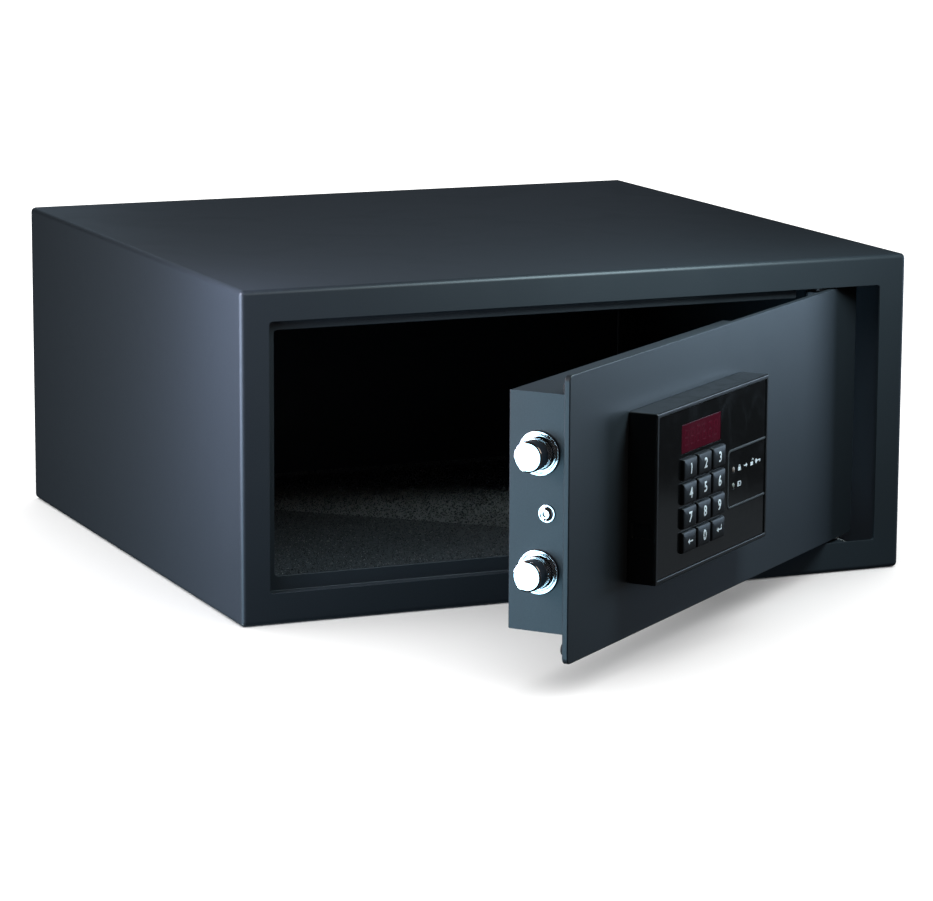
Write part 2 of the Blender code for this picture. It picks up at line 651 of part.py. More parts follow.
def bolts():
    """Turned bolts with a rounded edge at the tip."""
    length, edge = BOLT_REAR_U - BOLT_TIP_U, 0.001
    profile = [(0.0, length), (BOLT_RADIUS - 0.9 * edge, length),
               (BOLT_RADIUS - 0.3 * edge, length - 0.3 * edge), (BOLT_RADIUS, length - edge),
               (BOLT_RADIUS, 0.0), (0.0, 0.0)]
    for side, z in BOLT_ZS.items():
        turned(side + "_bolt", profile, "chrome", CARRIAGE, in_door(BOLT_REAR_U, BOLT_N, z),
               TO_FREE_EDGE)


def tooth_gap(centre):
    """A shape maker: the space between two rack teeth, narrower at the root."""

    def build(mesh):
        low = in_door(centre, BOLT_N - RACK_THICKNESS, RACK_PITCH_Z - TOOTH_ADDENDUM)
        depth = TOOTH_ADDENDUM + TOOTH_DEDENDUM
        middle = low + Vector((0, RACK_THICKNESS, depth / 2))
        size = Matrix.Diagonal((1.0, 2 * RACK_THICKNESS, 2 * depth, 1.0))
        points = bmesh.ops.create_cube(mesh, size=1.0, matrix=Matrix.Translation(middle) @ size)
        slope = (RACK_ROOT_HALF - RACK_TIP_HALF) / depth
        for point in points["verts"]:
            top = point.co.z > middle.z
            height = depth if top else -depth / 2
            point.co.z = low.z + height
            half = GEAR_MODULE * math.pi / 2 - RACK_TIP_HALF - slope * height
            point.co.x = middle.x + math.copysign(half, point.co.x - middle.x)

    return build


def bolt_carrier():
    """The cross plate behind both bolts, joined to the toothed rack that the pinion drives."""
    near = BOLT_REAR_U + GAP
    pitch = math.pi * GEAR_MODULE
    plate = block(in_door(near, BOLT_N - CARRIER_HALF_N, BOLT_ZS["lower"] - CARRIER_OVERHANG),
                  in_door(near + CARRIER_SHEET, BOLT_N + CARRIER_HALF_N,
                          BOLT_ZS["upper"] + CARRIER_OVERHANG), CARRIER_CORNER, along(0))
    end = PINION_U + (RACK_TEETH_AFTER + 0.5) * pitch
    arm = block(in_door(near + 0.4 * CARRIER_SHEET, BOLT_N - RACK_THICKNESS / 2,
                        RACK_PITCH_Z - TOOTH_ADDENDUM),
                in_door(end, BOLT_N + RACK_THICKNESS / 2, RACK_PITCH_Z + RACK_BACK))
    gaps = [tooth_gap(PINION_U + (step - 0.5) * pitch)
            for step in range(-RACK_TEETH_BEFORE, RACK_TEETH_AFTER + 1)]
    piece = add("bolt_carrier", mesh_of("bolt_carrier", plate), "zinc_steel", CARRIAGE)
    boolean(piece, tool("rack_arm", mesh_of("rack_arm", arm), CARRIAGE), "UNION")
    boolean(piece, tool("tooth_gaps", mesh_of("tooth_gaps", *gaps), CARRIAGE))


def drive_pinion(motor_back):
    root = PINION_PITCH_RADIUS - TOOTH_DEDENDUM
    tip = PINION_PITCH_RADIUS + TOOTH_ADDENDUM
    outline = []
    for tooth in range(PINION_TEETH):
        centre = (tooth + 0.5) * 2 * math.pi / PINION_TEETH
        for radius, offset in ((root, -PINION_ROOT_HALF_ANGLE), (tip, -PINION_TIP_HALF_ANGLE),
                               (tip, PINION_TIP_HALF_ANGLE), (root, PINION_ROOT_HALF_ANGLE)):
            outline.append((radius * math.cos(centre + offset), radius * math.sin(centre + offset)))
    bore = SHAFT_RADIUS + GAP
    turns = [step * 2 * math.pi / FINE_ROUND for step in range(FINE_ROUND)]
    hole = [(bore * math.cos(turn), bore * math.sin(turn)) for turn in turns]
    axis = in_door(PINION_U, BOLT_N, PINION_Z)
    flat_outline("drive_pinion", outline, RACK_THICKNESS + 0.001, "zinc_steel", DOOR, axis,
                 TO_FRONT, hole)
    start = motor_back + GAP - BOLT_N
    shaft = [(0.0, SHAFT_TOP), (SHAFT_RADIUS, SHAFT_TOP), (SHAFT_RADIUS, start), (0.0, start)]
    turned("pinion_shaft", shaft, "zinc_steel", DOOR, axis, TO_BACK, segments=FINE_ROUND)


# ---------------------------------------------------------------- keypad unit


def keypad_housing():
    low = in_door(KEYPAD_LEFT, -KEYPAD_DEPTH, KEYPAD_LOW)
    high = in_door(KEYPAD_RIGHT, -GAP, KEYPAD_HIGH)
    piece = add("keypad_housing", mesh_of("keypad_housing", block(
        low, high, KEYPAD_EDGE, lambda edge: min(p.co.y for p in edge.verts) < high.y - 0.001, 2)),
        "gloss_black", DOOR)
    rim = Vector((KEYPAD_RIM, 0, KEYPAD_RIM))
    wall = Vector((KEYPAD_WALL, 0, KEYPAD_WALL))
    pocket = block(low + rim - Vector((0, CUT, 0)),
                   Vector((high.x, FASCIA_BACK_N + GAP - PIVOT_N, high.z)) - rim)
    hollow = block(Vector((low.x, FASCIA_FRONT_N - PIVOT_N, low.z)) + wall,
                   high - wall + Vector((0, CUT, 0)))
    slot = block(in_door(KEYPAD_LEFT - CUT, SLOT_FRONT_N, SLOT_Z - SLOT_HEIGHT / 2),
                 in_door(KEYPAD_LEFT + SLOT_DEPTH, SLOT_BACK_N, SLOT_Z + SLOT_HEIGHT / 2))
    boolean(piece, tool("fascia_pocket", mesh_of("fascia_pocket", pocket), DOOR))
    boolean(piece, tool("keypad_hollow", mesh_of("keypad_hollow", hollow), DOOR))
    boolean(piece, tool("service_slot", mesh_of("service_slot", slot), DOOR))


def key_places():
    for row, names in enumerate(KEY_ROWS):
        for column, name in enumerate(names):
            yield name, KEY_FIRST_U + column * KEY_PITCH_U, KEY_FIRST_Z - row * KEY_PITCH_Z


def keypad_fascia():
    inset = KEYPAD_RIM + GAP
    piece = add("keypad_fascia", mesh_of("keypad_fascia", block(
        in_door(KEYPAD_LEFT + inset, FASCIA_FRONT_N, KEYPAD_LOW + inset),
        in_door(KEYPAD_RIGHT - inset, FASCIA_BACK_N, KEYPAD_HIGH - inset))), "gloss_black", DOOR)
    before, behind = FASCIA_FRONT_N - CUT, FASCIA_BACK_N + CUT
    half = Vector((KEY_WIDTH / 2 + GAP, 0, KEY_HEIGHT / 2 + GAP))
    holes = [block(in_door(u, before, z) - half, in_door(u, behind, z) + half, KEY_EDGE,
                   along(1), 2) for name, u, z in key_places()]
    holes.append(block(in_door(WINDOW_LOW.x - GAP, before, WINDOW_LOW.z - GAP),
                       in_door(WINDOW_HIGH.x + GAP, behind, WINDOW_HIGH.z + GAP)))
    holes += [rod(in_door(LED_U, before, z), in_door(LED_U, behind, z), LED_RADIUS + GAP,
                  FINE_ROUND) for z in LED_ZS.values()]
    pocket = block(in_door(LABEL_LOW.x, before, LABEL_LOW.z),
                   in_door(LABEL_HIGH.x, FASCIA_FRONT_N + LABEL_DEPTH + GAP, LABEL_HIGH.z),
                   LABEL_RADIUS, along(1))
    boolean(piece, tool("fascia_holes", mesh_of("fascia_holes", *holes), DOOR))
    boolean(piece, tool("label_pocket", mesh_of("label_pocket", pocket), DOOR))


def label_inlay():
    """The insert beside the status lights, with a hole for each light."""
    piece = add("label_inlay", mesh_of("label_inlay", block(
        in_door(LABEL_LOW.x + GAP, FASCIA_FRONT_N, LABEL_LOW.z + GAP),
        in_door(LABEL_HIGH.x - GAP, FASCIA_FRONT_N + LABEL_DEPTH, LABEL_HIGH.z - GAP),
        LABEL_RADIUS - GAP, along(1))), "gloss_black", DOOR)
    holes = [rod(in_door(LED_U, FASCIA_FRONT_N - CUT, z), in_door(LED_U, FASCIA_FRONT_N + CUT, z),
                 LED_RADIUS + GAP, FINE_ROUND) for z in LED_ZS.values()]
    boolean(piece, tool("label_light_holes", mesh_of("label_light_holes", *holes), DOOR))


def status_lights():
    flush = BOARD_N - FASCIA_FRONT_N
    profile = [(0.0, flush + LED_DOME), (0.55 * LED_RADIUS, flush + 0.75 * LED_DOME),
               (LED_RADIUS, flush - 0.25 * LED_DOME), (LED_RADIUS, GAP), (0.0, GAP)]
    for (side, z), finish in zip(LED_ZS.items(), ("amber_led", "green_led")):
        turned(side + "_status_light", profile, finish, DOOR, in_door(LED_U, BOARD_N, z), TO_FRONT,
               segments=FINE_ROUND)


def display():
    add("display_window", mesh_of("display_window", block(
        in_door(WINDOW_LOW.x, FASCIA_FRONT_N + 0.0001, WINDOW_LOW.z),
        in_door(WINDOW_HIGH.x, FASCIA_BACK_N, WINDOW_HIGH.z), 0.0003, along(1), 1)),
        "red_lens", DOOR)
    add("display_module", mesh_of("display_module", block(
        in_door(WINDOW_LOW.x + 0.001, FASCIA_BACK_N + GAP, WINDOW_LOW.z - 0.001),
        in_door(WINDOW_HIGH.x - 0.001, BOARD_N - GAP, WINDOW_HIGH.z + 0.001), 0.0004)),
        "black_plastic", DOOR)


def circuit_board():
    inset = 2 * BOARD_MARGIN
    piece = add("circuit_board", mesh_of("circuit_board", block(
        in_door(KEYPAD_LEFT + BOARD_MARGIN, BOARD_N, KEYPAD_LOW + BOARD_MARGIN),
        in_door(KEYPAD_RIGHT - BOARD_MARGIN, BOARD_N + BOARD_THICKNESS,
                KEYPAD_HIGH - BOARD_MARGIN), 0.002, along(1))), "board_green", DOOR)
    holes = [rod(in_door(u, BOARD_N - CUT, z), in_door(u, BOARD_N + BOARD_THICKNESS + CUT, z),
                 BOARD_HOLE_RADIUS, 12)
             for u in (KEYPAD_LEFT + inset, KEYPAD_RIGHT - inset)
             for z in (KEYPAD_LOW + inset, KEYPAD_HIGH - inset)]
    boolean(piece, tool("board_holes", mesh_of("board_holes", *holes), DOOR))


def key_mat():
    """A silicone sheet with a dome under each key."""
    last_u = KEY_FIRST_U + 2 * KEY_PITCH_U
    last_z = KEY_FIRST_Z - 3 * KEY_PITCH_Z
    front = BOARD_N - GAP - MAT_SHEET
    sheet = block(in_door(KEY_FIRST_U - MAT_EDGE_U, front, last_z - MAT_EDGE_Z),
                  in_door(last_u + MAT_EDGE_U, BOARD_N - GAP, KEY_FIRST_Z + MAT_EDGE_Z),
                  0.002, along(1))
    piece = add("key_mat", mesh_of("key_mat", sheet), "silicone", DOOR)
    domes = [rod(in_door(u, BOARD_N - DOME_HEIGHT, z), in_door(u, front + GAP, z), DOME_RADIUS, 12)
             for name, u, z in key_places()]
    boolean(piece, tool("mat_domes", mesh_of("mat_domes", *domes), DOOR), "UNION")


def keys():
    """Twelve caps with one shape. A wider foot behind the fascia keeps each one in."""
    half = Vector((KEY_WIDTH / 2, 0, KEY_HEIGHT / 2))
    foot = half + KEY_FOOT
    back = FASCIA_BACK_N + GAP - KEY_FRONT_N
    cap_shape = block(-half, half + Vector((0, back + KEY_FOOT_THICKNESS / 2, 0)), KEY_EDGE,
                      lambda edge: max(p.co.y for p in edge.verts) < back or along(1)(edge), 2)
    cap = mesh_of("key_cap", cap_shape)
    foot_shape = mesh_of("key_foot", block(Vector((0, back, 0)) - foot,
                                           Vector((0, back + KEY_FOOT_THICKNESS, 0)) + foot))
    for name, u, z in key_places():
        place = in_door(u, KEY_FRONT_N, z)
        piece = add("key_" + name, cap, "key_grey", DOOR, place)
        boolean(piece, tool("key_foot_" + name, foot_shape, DOOR, place), "UNION")


# ---------------------------------------------------------------- batteries


def batteries():
    """Four cells in a tray, turned about by turns, under a cover with a finger notch."""
    low_z = LOCK_Z - (CELL_COUNT - 1) * CELL_PITCH / 2
    high_z = low_z + (CELL_COUNT - 1) * CELL_PITCH
    side = CELL_RADIUS + GAP
    pocket_low = in_door(CELL_FREE_U - HOLDER_END_PLAY, CELL_N - side, low_z - side)
    pocket_high = in_door(CELL_FREE_U + CELL_LENGTH + 2 * HOLDER_END_PLAY,
                          CELL_N + CELL_RADIUS + CELL_NUB, high_z + side)
    wall = Vector((HOLDER_WALL,) * 3)
    piece = add("battery_holder", mesh_of("battery_holder", block(
        pocket_low - wall, pocket_high + wall - Vector((0, HOLDER_WALL + CELL_NUB, 0)),
        0.001, along(1), 2)), "black_plastic", DOOR)
    pocket = tool("battery_pocket", mesh_of("battery_pocket", block(pocket_low, pocket_high)), DOOR)
    boolean(piece, pocket)
    shoulder = CELL_LENGTH - CELL_NUB
    profile = [(0.0, CELL_LENGTH), (CELL_NUB_RADIUS, CELL_LENGTH), (CELL_NUB_RADIUS, shoulder),
               (CELL_RADIUS - CELL_EDGE, shoulder), (CELL_RADIUS, shoulder - CELL_EDGE),
               (CELL_RADIUS, CELL_EDGE), (CELL_RADIUS - CELL_EDGE, 0.0), (0.0, 0.0)]
    for number in range(CELL_COUNT):
        turn = TO_HINGE if number % 2 else TO_FREE_EDGE
        end_u = CELL_FREE_U if number % 2 else CELL_FREE_U + CELL_LENGTH
        turned("battery_cell_%d" % (number + 1), profile, "cell_sleeve", DOOR,
               in_door(end_u, CELL_N, low_z + number * CELL_PITCH), turn, segments=SMALL_ROUND)
    cover = add("battery_cover", mesh_of("battery_cover", block(
        in_door(BATTERY_LOW.x + GAP, COVER_WALL_N, BATTERY_LOW.z + GAP),
        in_door(BATTERY_HIGH.x - GAP, COVER_BACK_N + BATTERY_COVER_RISE, BATTERY_HIGH.z - GAP),
        BATTERY_CORNER - GAP, along(1))), "black_plastic", DOOR)
    notch = block(in_door(BATTERY_HIGH.x - NOTCH_FAR, COVER_BACK_N, LOCK_Z - NOTCH_HALF),
                  in_door(BATTERY_HIGH.x - NOTCH_NEAR, COVER_BACK_N + CUT, LOCK_Z + NOTCH_HALF),
                  0.001, along(1), 2)
    boolean(cover, tool("cover_notch", mesh_of("cover_notch", notch), DOOR))


for old in list(bpy.data.objects):
    bpy.data.objects.remove(old, do_unlink=True)
PARTS = collection("in_room_safe")
CUTTERS = collection("in_room_safe_cutters")
DOOR = empty("door_hinge_axis", (PIVOT_X, PIVOT_Y, 0.0), OPEN_ANGLE)
CARRIAGE = empty("bolt_slide_axis", (0.0, 0.0, 0.0), parent=DOOR)

body_shell()
back_panel()
door_stop_frame()
floor_mat()
for position, opening_edge, door_edge, direction in (
        ("upper", OPENING_TOP, DOOR_TOP, 1), ("lower", OPENING_BOTTOM, DOOR_BOTTOM, -1)):
    leaf_far = hinge_bracket(position + "_hinge_bracket", opening_edge, direction)
    hinge_pin(position + "_hinge_pin", leaf_far, direction)
    tab_top = hinge_tab(position + "_hinge_tab", door_edge, -direction)
    hinge_bush(position + "_hinge_bush", tab_top, opening_edge + direction * HINGE_BRACKET_OFFSET)

door_plate()
lock_cover()
lock_chassis()
bolt_bushings()
side_screw()
door_bumpers()
cover_fixings()
bolts()
bolt_carrier()
drive_pinion(gear_motor())
keypad_housing()
keypad_fascia()
label_inlay()
status_lights()
display()
circuit_board()
key_mat()
keys()
batteries()
for made in PARTS.objects:
    if made.type == "MESH":
        made.data.shade_smooth()
        made.data.set_sharp_from_angle(angle=math.radians(30))
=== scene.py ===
"""The finished look of an in-room safe, built around its fixed frame.

Metres, +Z up, the front towards -Y. Door pieces are shaped in the door's own axes, with X along
the door from the free edge to the hinge, Y from its front to its back and the origin on the
hinge axis, and are then carried to the door's place.
"""

import functools
import json
import math

import bmesh
import bpy
from bpy.props import FloatProperty, FloatVectorProperty, IntProperty, PointerProperty
from mathutils import Matrix, Vector


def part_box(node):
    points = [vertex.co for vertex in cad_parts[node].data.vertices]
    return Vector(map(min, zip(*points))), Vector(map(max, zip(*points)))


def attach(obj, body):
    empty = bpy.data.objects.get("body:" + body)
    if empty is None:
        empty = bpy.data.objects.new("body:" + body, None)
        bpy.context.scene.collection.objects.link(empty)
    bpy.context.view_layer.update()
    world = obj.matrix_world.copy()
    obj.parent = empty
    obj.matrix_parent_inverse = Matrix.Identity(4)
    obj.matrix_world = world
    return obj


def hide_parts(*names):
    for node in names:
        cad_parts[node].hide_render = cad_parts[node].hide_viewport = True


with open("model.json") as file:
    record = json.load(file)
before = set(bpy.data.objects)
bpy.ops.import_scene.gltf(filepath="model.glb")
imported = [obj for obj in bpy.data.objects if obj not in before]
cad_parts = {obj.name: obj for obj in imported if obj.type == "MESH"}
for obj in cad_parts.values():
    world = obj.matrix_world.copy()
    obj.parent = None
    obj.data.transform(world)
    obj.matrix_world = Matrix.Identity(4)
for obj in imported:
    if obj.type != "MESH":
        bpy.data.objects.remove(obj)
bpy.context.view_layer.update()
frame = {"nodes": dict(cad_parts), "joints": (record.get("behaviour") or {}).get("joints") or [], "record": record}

bl_info = {
    "name": "In-Room Safe",
    "version": (1, 0, 0),
    "blender": (4, 5, 0),
    "location": "View3D > Sidebar > Safe",
    "description": "Builds the finished surfaces, keypad and studio of an in-room safe",
    "category": "Object",
}

JOINTS = {joint["name"]: joint for joint in frame["joints"]}
ALONG_DOOR = -Vector(JOINTS["bolt_slide"]["axis"])
INTO_DOOR = Vector(JOINTS["key_1_press"]["axis"])
UP = Vector((0.0, 0.0, 1.0))
HINGE = Vector((*JOINTS["door_hinge"]["pos_m"][:2], 0.0))
DOOR_TURN = Matrix((ALONG_DOOR, INTO_DOOR, UP)).transposed().to_4x4()
DOOR = Matrix.Translation(HINGE) @ DOOR_TURN
DOOR_ANGLE = math.atan2(ALONG_DOOR.y, ALONG_DOOR.x)
QUARTER = math.pi / 2
TO_FREE_EDGE = Matrix.Rotation(-QUARTER, 4, "Y")
TO_HINGE = Matrix.Rotation(QUARTER, 4, "Y")
TO_BACK = Matrix.Rotation(-QUARTER, 4, "X")
TO_FRONT = Matrix.Rotation(QUARTER, 4, "X")
KEY_NAMES = ("1", "2", "3", "4", "5", "6", "7", "8", "9", "clear", "0", "enter")
SAME_POINT = 0.000001
PANEL_EDGE = 0.0004


# ---------------------------------------------------------------- settings


class SafeColours(bpy.types.PropertyGroup):
    """Colours of the safe's finishes"""

    coat: FloatVectorProperty(
        name="Powder coat", description="Graphite coat of the body and door",
        subtype="COLOR", size=3, min=0.0, max=1.0, default=(0.030, 0.037, 0.046))
    felt: FloatVectorProperty(
        name="Floor felt", description="Felt mat on the floor of the safe",
        subtype="COLOR", size=3, min=0.0, max=1.0, default=(0.040, 0.043, 0.050))
    chrome: FloatVectorProperty(
        name="Chrome", description="Bolts, bushings and the side screw",
        subtype="COLOR", size=3, min=0.0, max=1.0, default=(0.80, 0.81, 0.83))
    zinc: FloatVectorProperty(
        name="Zinc plate", description="Pins, screws and the lock's inner parts",
        subtype="COLOR", size=3, min=0.0, max=1.0, default=(0.52, 0.53, 0.55))
    keypad: FloatVectorProperty(
        name="Keypad black", description="Black plastic of the keypad unit",
        subtype="COLOR", size=3, min=0.0, max=1.0, default=(0.0035, 0.0037, 0.0042))
    keys: FloatVectorProperty(
        name="Keys", description="Plastic of the key caps",
        subtype="COLOR", size=3, min=0.0, max=1.0, default=(0.0060, 0.0065, 0.0080))
    print_ink: FloatVectorProperty(
        name="Print", description="Light ink of the key legends and symbols",
        subtype="COLOR", size=3, min=0.0, max=1.0, default=(0.80, 0.83, 0.88))
    lens: FloatVectorProperty(
        name="Display lens", description="Dark red plastic over the display",
        subtype="COLOR", size=3, min=0.0, max=1.0, default=(0.062, 0.003, 0.011))


class SafeSizes(bpy.types.PropertyGroup):
    """Sizes of the safe's fine features"""

    steel_edge: FloatProperty(
        name="Steel edge", description="Rounding of the cut edges of sheet steel",
        unit="LENGTH", min=0.0, default=0.0007)
    pile_height: FloatProperty(
        name="Pile height", description="Length of the felt's tufts",
        unit="LENGTH", min=0.0, default=0.0011)
    pile_count: IntProperty(
        name="Tufts", description="Tufts on the floor mat", min=0, default=42000)
    key_crown: FloatProperty(
        name="Key crown", description="How far a key's face falls from its middle to its ends",
        unit="LENGTH", min=0.0, default=0.0009)
    digit_height: FloatProperty(
        name="Digit size", description="Type size of the digits on the keys",
        unit="LENGTH", min=0.0, default=0.0082)
    print_thickness: FloatProperty(
        name="Ink thickness", description="Thickness of printed marks",
        unit="LENGTH", min=0.0, default=0.00005)


# ---------------------------------------------------------------- shader groups


def put(tree, kind, inputs=None, **settings):
    """A node with its settings, and its inputs set to values or linked to sockets."""
    made = tree.nodes.new(kind)
    for name, value in settings.items():
        setattr(made, name, value)
    for name, value in (inputs or {}).items():
        if isinstance(value, bpy.types.NodeSocket):
            tree.links.new(value, made.inputs[name])
        else:
            made.inputs[name].default_value = value
    return made


def built_once(name):
    """Marks the maker of a node tree: it builds the tree once, and then hands out the same."""

    def marked(build):
        @functools.wraps(build)
        def found():
            return bpy.data.node_groups.get(name) or build(name)

        return found

    return marked


def new_group(name, inputs, outputs):
    """A shader group with float inputs and the outputs named, and its two end nodes."""
    tree = bpy.data.node_groups.new(name, "ShaderNodeTree")
    for label, default in inputs:
        socket = tree.interface.new_socket(label, in_out="INPUT", socket_type="NodeSocketFloat")
        socket.default_value = default
    for label in outputs:
        tree.interface.new_socket(label, in_out="OUTPUT", socket_type="NodeSocketFloat")
    return tree, tree.nodes.new("NodeGroupInput"), tree.nodes.new("NodeGroupOutput")


@built_once("Fine grain")
def fine_grain(name):
    """Small even bumps, as of powder coat or moulded plastic, with a broad change of tone."""
    tree, given, result = new_group(
        name, (("Scale", 1500.0), ("Broad Scale", 9.0)), ("Height", "Tone", "Broad"))
    place = put(tree, "ShaderNodeTexCoord").outputs["Object"]
    small = put(tree, "ShaderNodeTexNoise", {
        "Vector": place, "Scale": given.outputs["Scale"], "Detail": 2.0, "Roughness": 0.55})
    broad = put(tree, "ShaderNodeTexNoise", {
        "Vector": place, "Scale": given.outputs["Broad Scale"], "Detail": 3.0})
    tree.links.new(small.outputs["Fac"], result.inputs["Height"])
    speckle = put(tree, "ShaderNodeMapRange", {
        "Value": small.outputs["Fac"], "From Min": 0.3, "From Max": 0.7})
    tree.links.new(speckle.outputs["Result"], result.inputs["Tone"])
    tree.links.new(broad.outputs["Fac"], result.inputs["Broad"])
    return tree


@built_once("Handling marks")
def handling_marks(name):
    """Soft smears left by hands, as a mask from 0 to 1."""
    tree, given, result = new_group(name, (("Scale", 40.0), ("Amount", 0.3)), ("Mask",))
    place = put(tree, "ShaderNodeTexCoord").outputs["Object"]
    bent = put(tree, "ShaderNodeTexNoise", {
        "Vector": place, "Scale": given.outputs["Scale"], "Detail": 5.0, "Distortion": 1.2})
    spread = put(tree, "ShaderNodeMapRange", {
        "Value": bent.outputs["Fac"], "From Min": 0.48, "From Max": 0.72})
    scaled = put(tree, "ShaderNodeMath", operation="MULTIPLY")
    tree.links.new(spread.outputs["Result"], scaled.inputs[0])
    tree.links.new(given.outputs["Amount"], scaled.inputs[1])
    tree.links.new(scaled.outputs[0], result.inputs["Mask"])
    return tree


@built_once("Machined lines")
def machined_lines(name):
    """Fine lines across the door's length, as on turned or drawn bars."""
    tree, given, result = new_group(name, (("Scale", 900.0),), ("Height",))
    place = put(tree, "ShaderNodeTexCoord").outputs["Object"]
    along = put(tree, "ShaderNodeMapping", {
        "Vector": place, "Rotation": (0.0, 0.0, -DOOR_ANGLE), "Scale": (1.0, 0.03, 0.03)})
    lines = put(tree, "ShaderNodeTexNoise", {
        "Vector": along.outputs["Vector"], "Scale": given.outputs["Scale"], "Detail": 3.0})
    tree.links.new(lines.outputs["Fac"], result.inputs["Height"])
    return tree


# ---------------------------------------------------------------- materials


def finish_label(name):
    """The finish's own name, which no imported material has."""
    return "Finish, " + name.replace("_", " ")


def shader_of(name, **values):
    """A new material's tree and its Principled shader with the constant values given."""
    made = bpy.data.materials.new(finish_label(name))
    made.use_nodes = True
    tree = made.node_tree
    shader = tree.nodes["Principled BSDF"]
    for label, value in values.items():
        shader.inputs[label.replace("_", " ")].default_value = value
    return made, tree, shader


def group_in(tree, group, **values):
    """A shader group placed in a material with its own values."""
    made = tree.nodes.new("ShaderNodeGroup")
    made.node_tree = group
    for label, value in values.items():
        made.inputs[label.replace("_", " ")].default_value = value
    return made


def toned(tree, shader, mask, dark, light):
    """Base colour between two colours by a mask."""
    blend = put(tree, "ShaderNodeMix", {"Factor": mask}, data_type="RGBA")
    blend.inputs["A"].default_value = (*dark, 1.0)
    blend.inputs["B"].default_value = (*light, 1.0)
    tree.links.new(blend.outputs["Result"], shader.inputs["Base Color"])
    return blend.outputs["Result"]


def ranged(tree, mask, low, high):
    """A mask from 0 to 1 spread between two values."""
    made = put(tree, "ShaderNodeMapRange", {"Value": mask, "To Min": low, "To Max": high})
    return made.outputs["Result"]


def bumped(tree, shader, height, strength, distance):
    """Small relief on the shader's normal."""
    bump = put(tree, "ShaderNodeBump", {
        "Height": height, "Strength": strength, "Distance": distance})
    tree.links.new(bump.outputs["Normal"], shader.inputs["Normal"])


def shaded(colour, share):
    """A colour made lighter or darker by a share."""
    return tuple(channel * share for channel in colour)


def graphite_coat(colours):
    made, tree, shader = shader_of("graphite_coat", Metallic=0.3)
    grain = group_in(tree, fine_grain(), Scale=1700.0, Broad_Scale=7.0)
    marks = group_in(tree, handling_marks(), Scale=16.0, Amount=0.5)
    toned(tree, shader, grain.outputs["Tone"], shaded(colours.coat, 0.86),
          shaded(colours.coat, 1.14))
    rough = ranged(tree, marks.outputs["Mask"], 0.43, 0.49)
    tree.links.new(rough, shader.inputs["Roughness"])
    bumped(tree, shader, grain.outputs["Height"], 0.22, 0.00012)
    return made


def felt(colours):
    made, tree, shader = shader_of("felt", Sheen_Weight=0.35, Sheen_Roughness=0.5,
                                   Specular_IOR_Level=0.1, Roughness=0.95)
    grain = group_in(tree, fine_grain(), Scale=900.0, Broad_Scale=60.0)
    toned(tree, shader, grain.outputs["Tone"], shaded(colours.felt, 0.45),
          shaded(colours.felt, 1.7))
    bumped(tree, shader, grain.outputs["Height"], 0.8, 0.0005)
    return made


def chrome(colours):
    made, tree, shader = shader_of("chrome", Metallic=1.0)
    lines = group_in(tree, machined_lines(), Scale=700.0)
    marks = group_in(tree, handling_marks(), Scale=90.0, Amount=0.6)
    toned(tree, shader, marks.outputs["Mask"], colours.chrome, shaded(colours.chrome, 0.93))
    rough = ranged(tree, marks.outputs["Mask"], 0.05, 0.12)
    tree.links.new(rough, shader.inputs["Roughness"])
    bumped(tree, shader, lines.outputs["Height"], 0.04, 0.00004)
    return made


def zinc_steel(colours):
    made, tree, shader = shader_of("zinc_steel", Metallic=1.0)
    grain = group_in(tree, fine_grain(), Scale=420.0, Broad_Scale=45.0)
    toned(tree, shader, grain.outputs["Broad"], shaded(colours.zinc, 0.8), colours.zinc)
    tree.links.new(ranged(tree, grain.outputs["Tone"], 0.26, 0.42), shader.inputs["Roughness"])
    bumped(tree, shader, grain.outputs["Height"], 0.12, 0.00008)
    return made


def moulded(name, colour, rough, grain_scale, relief, **values):
    """Moulded plastic or rubber: one colour, a fine grain and faint handling marks."""
    made, tree, shader = shader_of(name, **values)
    grain = group_in(tree, fine_grain(), Scale=grain_scale, Broad_Scale=30.0)
    marks = group_in(tree, handling_marks(), Scale=60.0, Amount=0.6)
    toned(tree, shader, grain.outputs["Tone"], shaded(colour, 0.88), shaded(colour, 1.12))
    tree.links.new(ranged(tree, marks.outputs["Mask"], rough, rough + 0.12),
                   shader.inputs["Roughness"])
    bumped(tree, shader, grain.outputs["Height"], relief, 0.00006)
    return made


def moulded_finishes(colours):
    """Each plastic, rubber and ink: colour, roughness, grain scale, relief and the rest."""
    return {
        "gloss_black": (colours.keypad, 0.12, 500.0, 0.03, {}),
        # The housing's finish is the keypad black made 2.2 times lighter. This is a painted highlight standing in
        # for the lit grey look of the housing rim; only its 0.30 roughness is the real satin.
        "satin_black_painted_highlight": (shaded(colours.keypad, 2.2), 0.30, 900.0, 0.06, {}),
        "key_grey": (colours.keys, 0.40, 2600.0, 0.10, {"Specular_IOR_Level": 0.26}),
        "print_ink": (colours.print_ink, 0.55, 4000.0, 0.05, {}),
        "dim_ink": (shaded(colours.print_ink, 0.035), 0.55, 4000.0, 0.05,
                    {"Specular_IOR_Level": 0.3}),
        "red_lens": (colours.lens, 0.10, 6000.0, 0.02, {}),
        "unlit_segment": (shaded(colours.lens, 1.35), 0.12, 6000.0, 0.02, {}),
        "amber_led": ((0.24, 0.19, 0.17), 0.24, 3000.0, 0.02, {}),
        "green_led": ((0.19, 0.20, 0.18), 0.24, 3000.0, 0.02, {}),
        "nylon": ((0.022, 0.022, 0.024), 0.42, 1500.0, 0.08, {}),
        "rubber": ((0.018, 0.018, 0.020), 0.72, 1200.0, 0.25, {}),
        "silicone": ((0.30, 0.30, 0.32), 0.55, 1800.0, 0.08, {"Subsurface_Weight": 0.2}),
        "black_plastic": ((0.014, 0.014, 0.015), 0.48, 900.0, 0.35, {}),
        "cell_sleeve": ((0.34, 0.20, 0.035), 0.28, 1500.0, 0.04,
                        {"Metallic": 0.5, "Coat_Weight": 0.6}),
    }


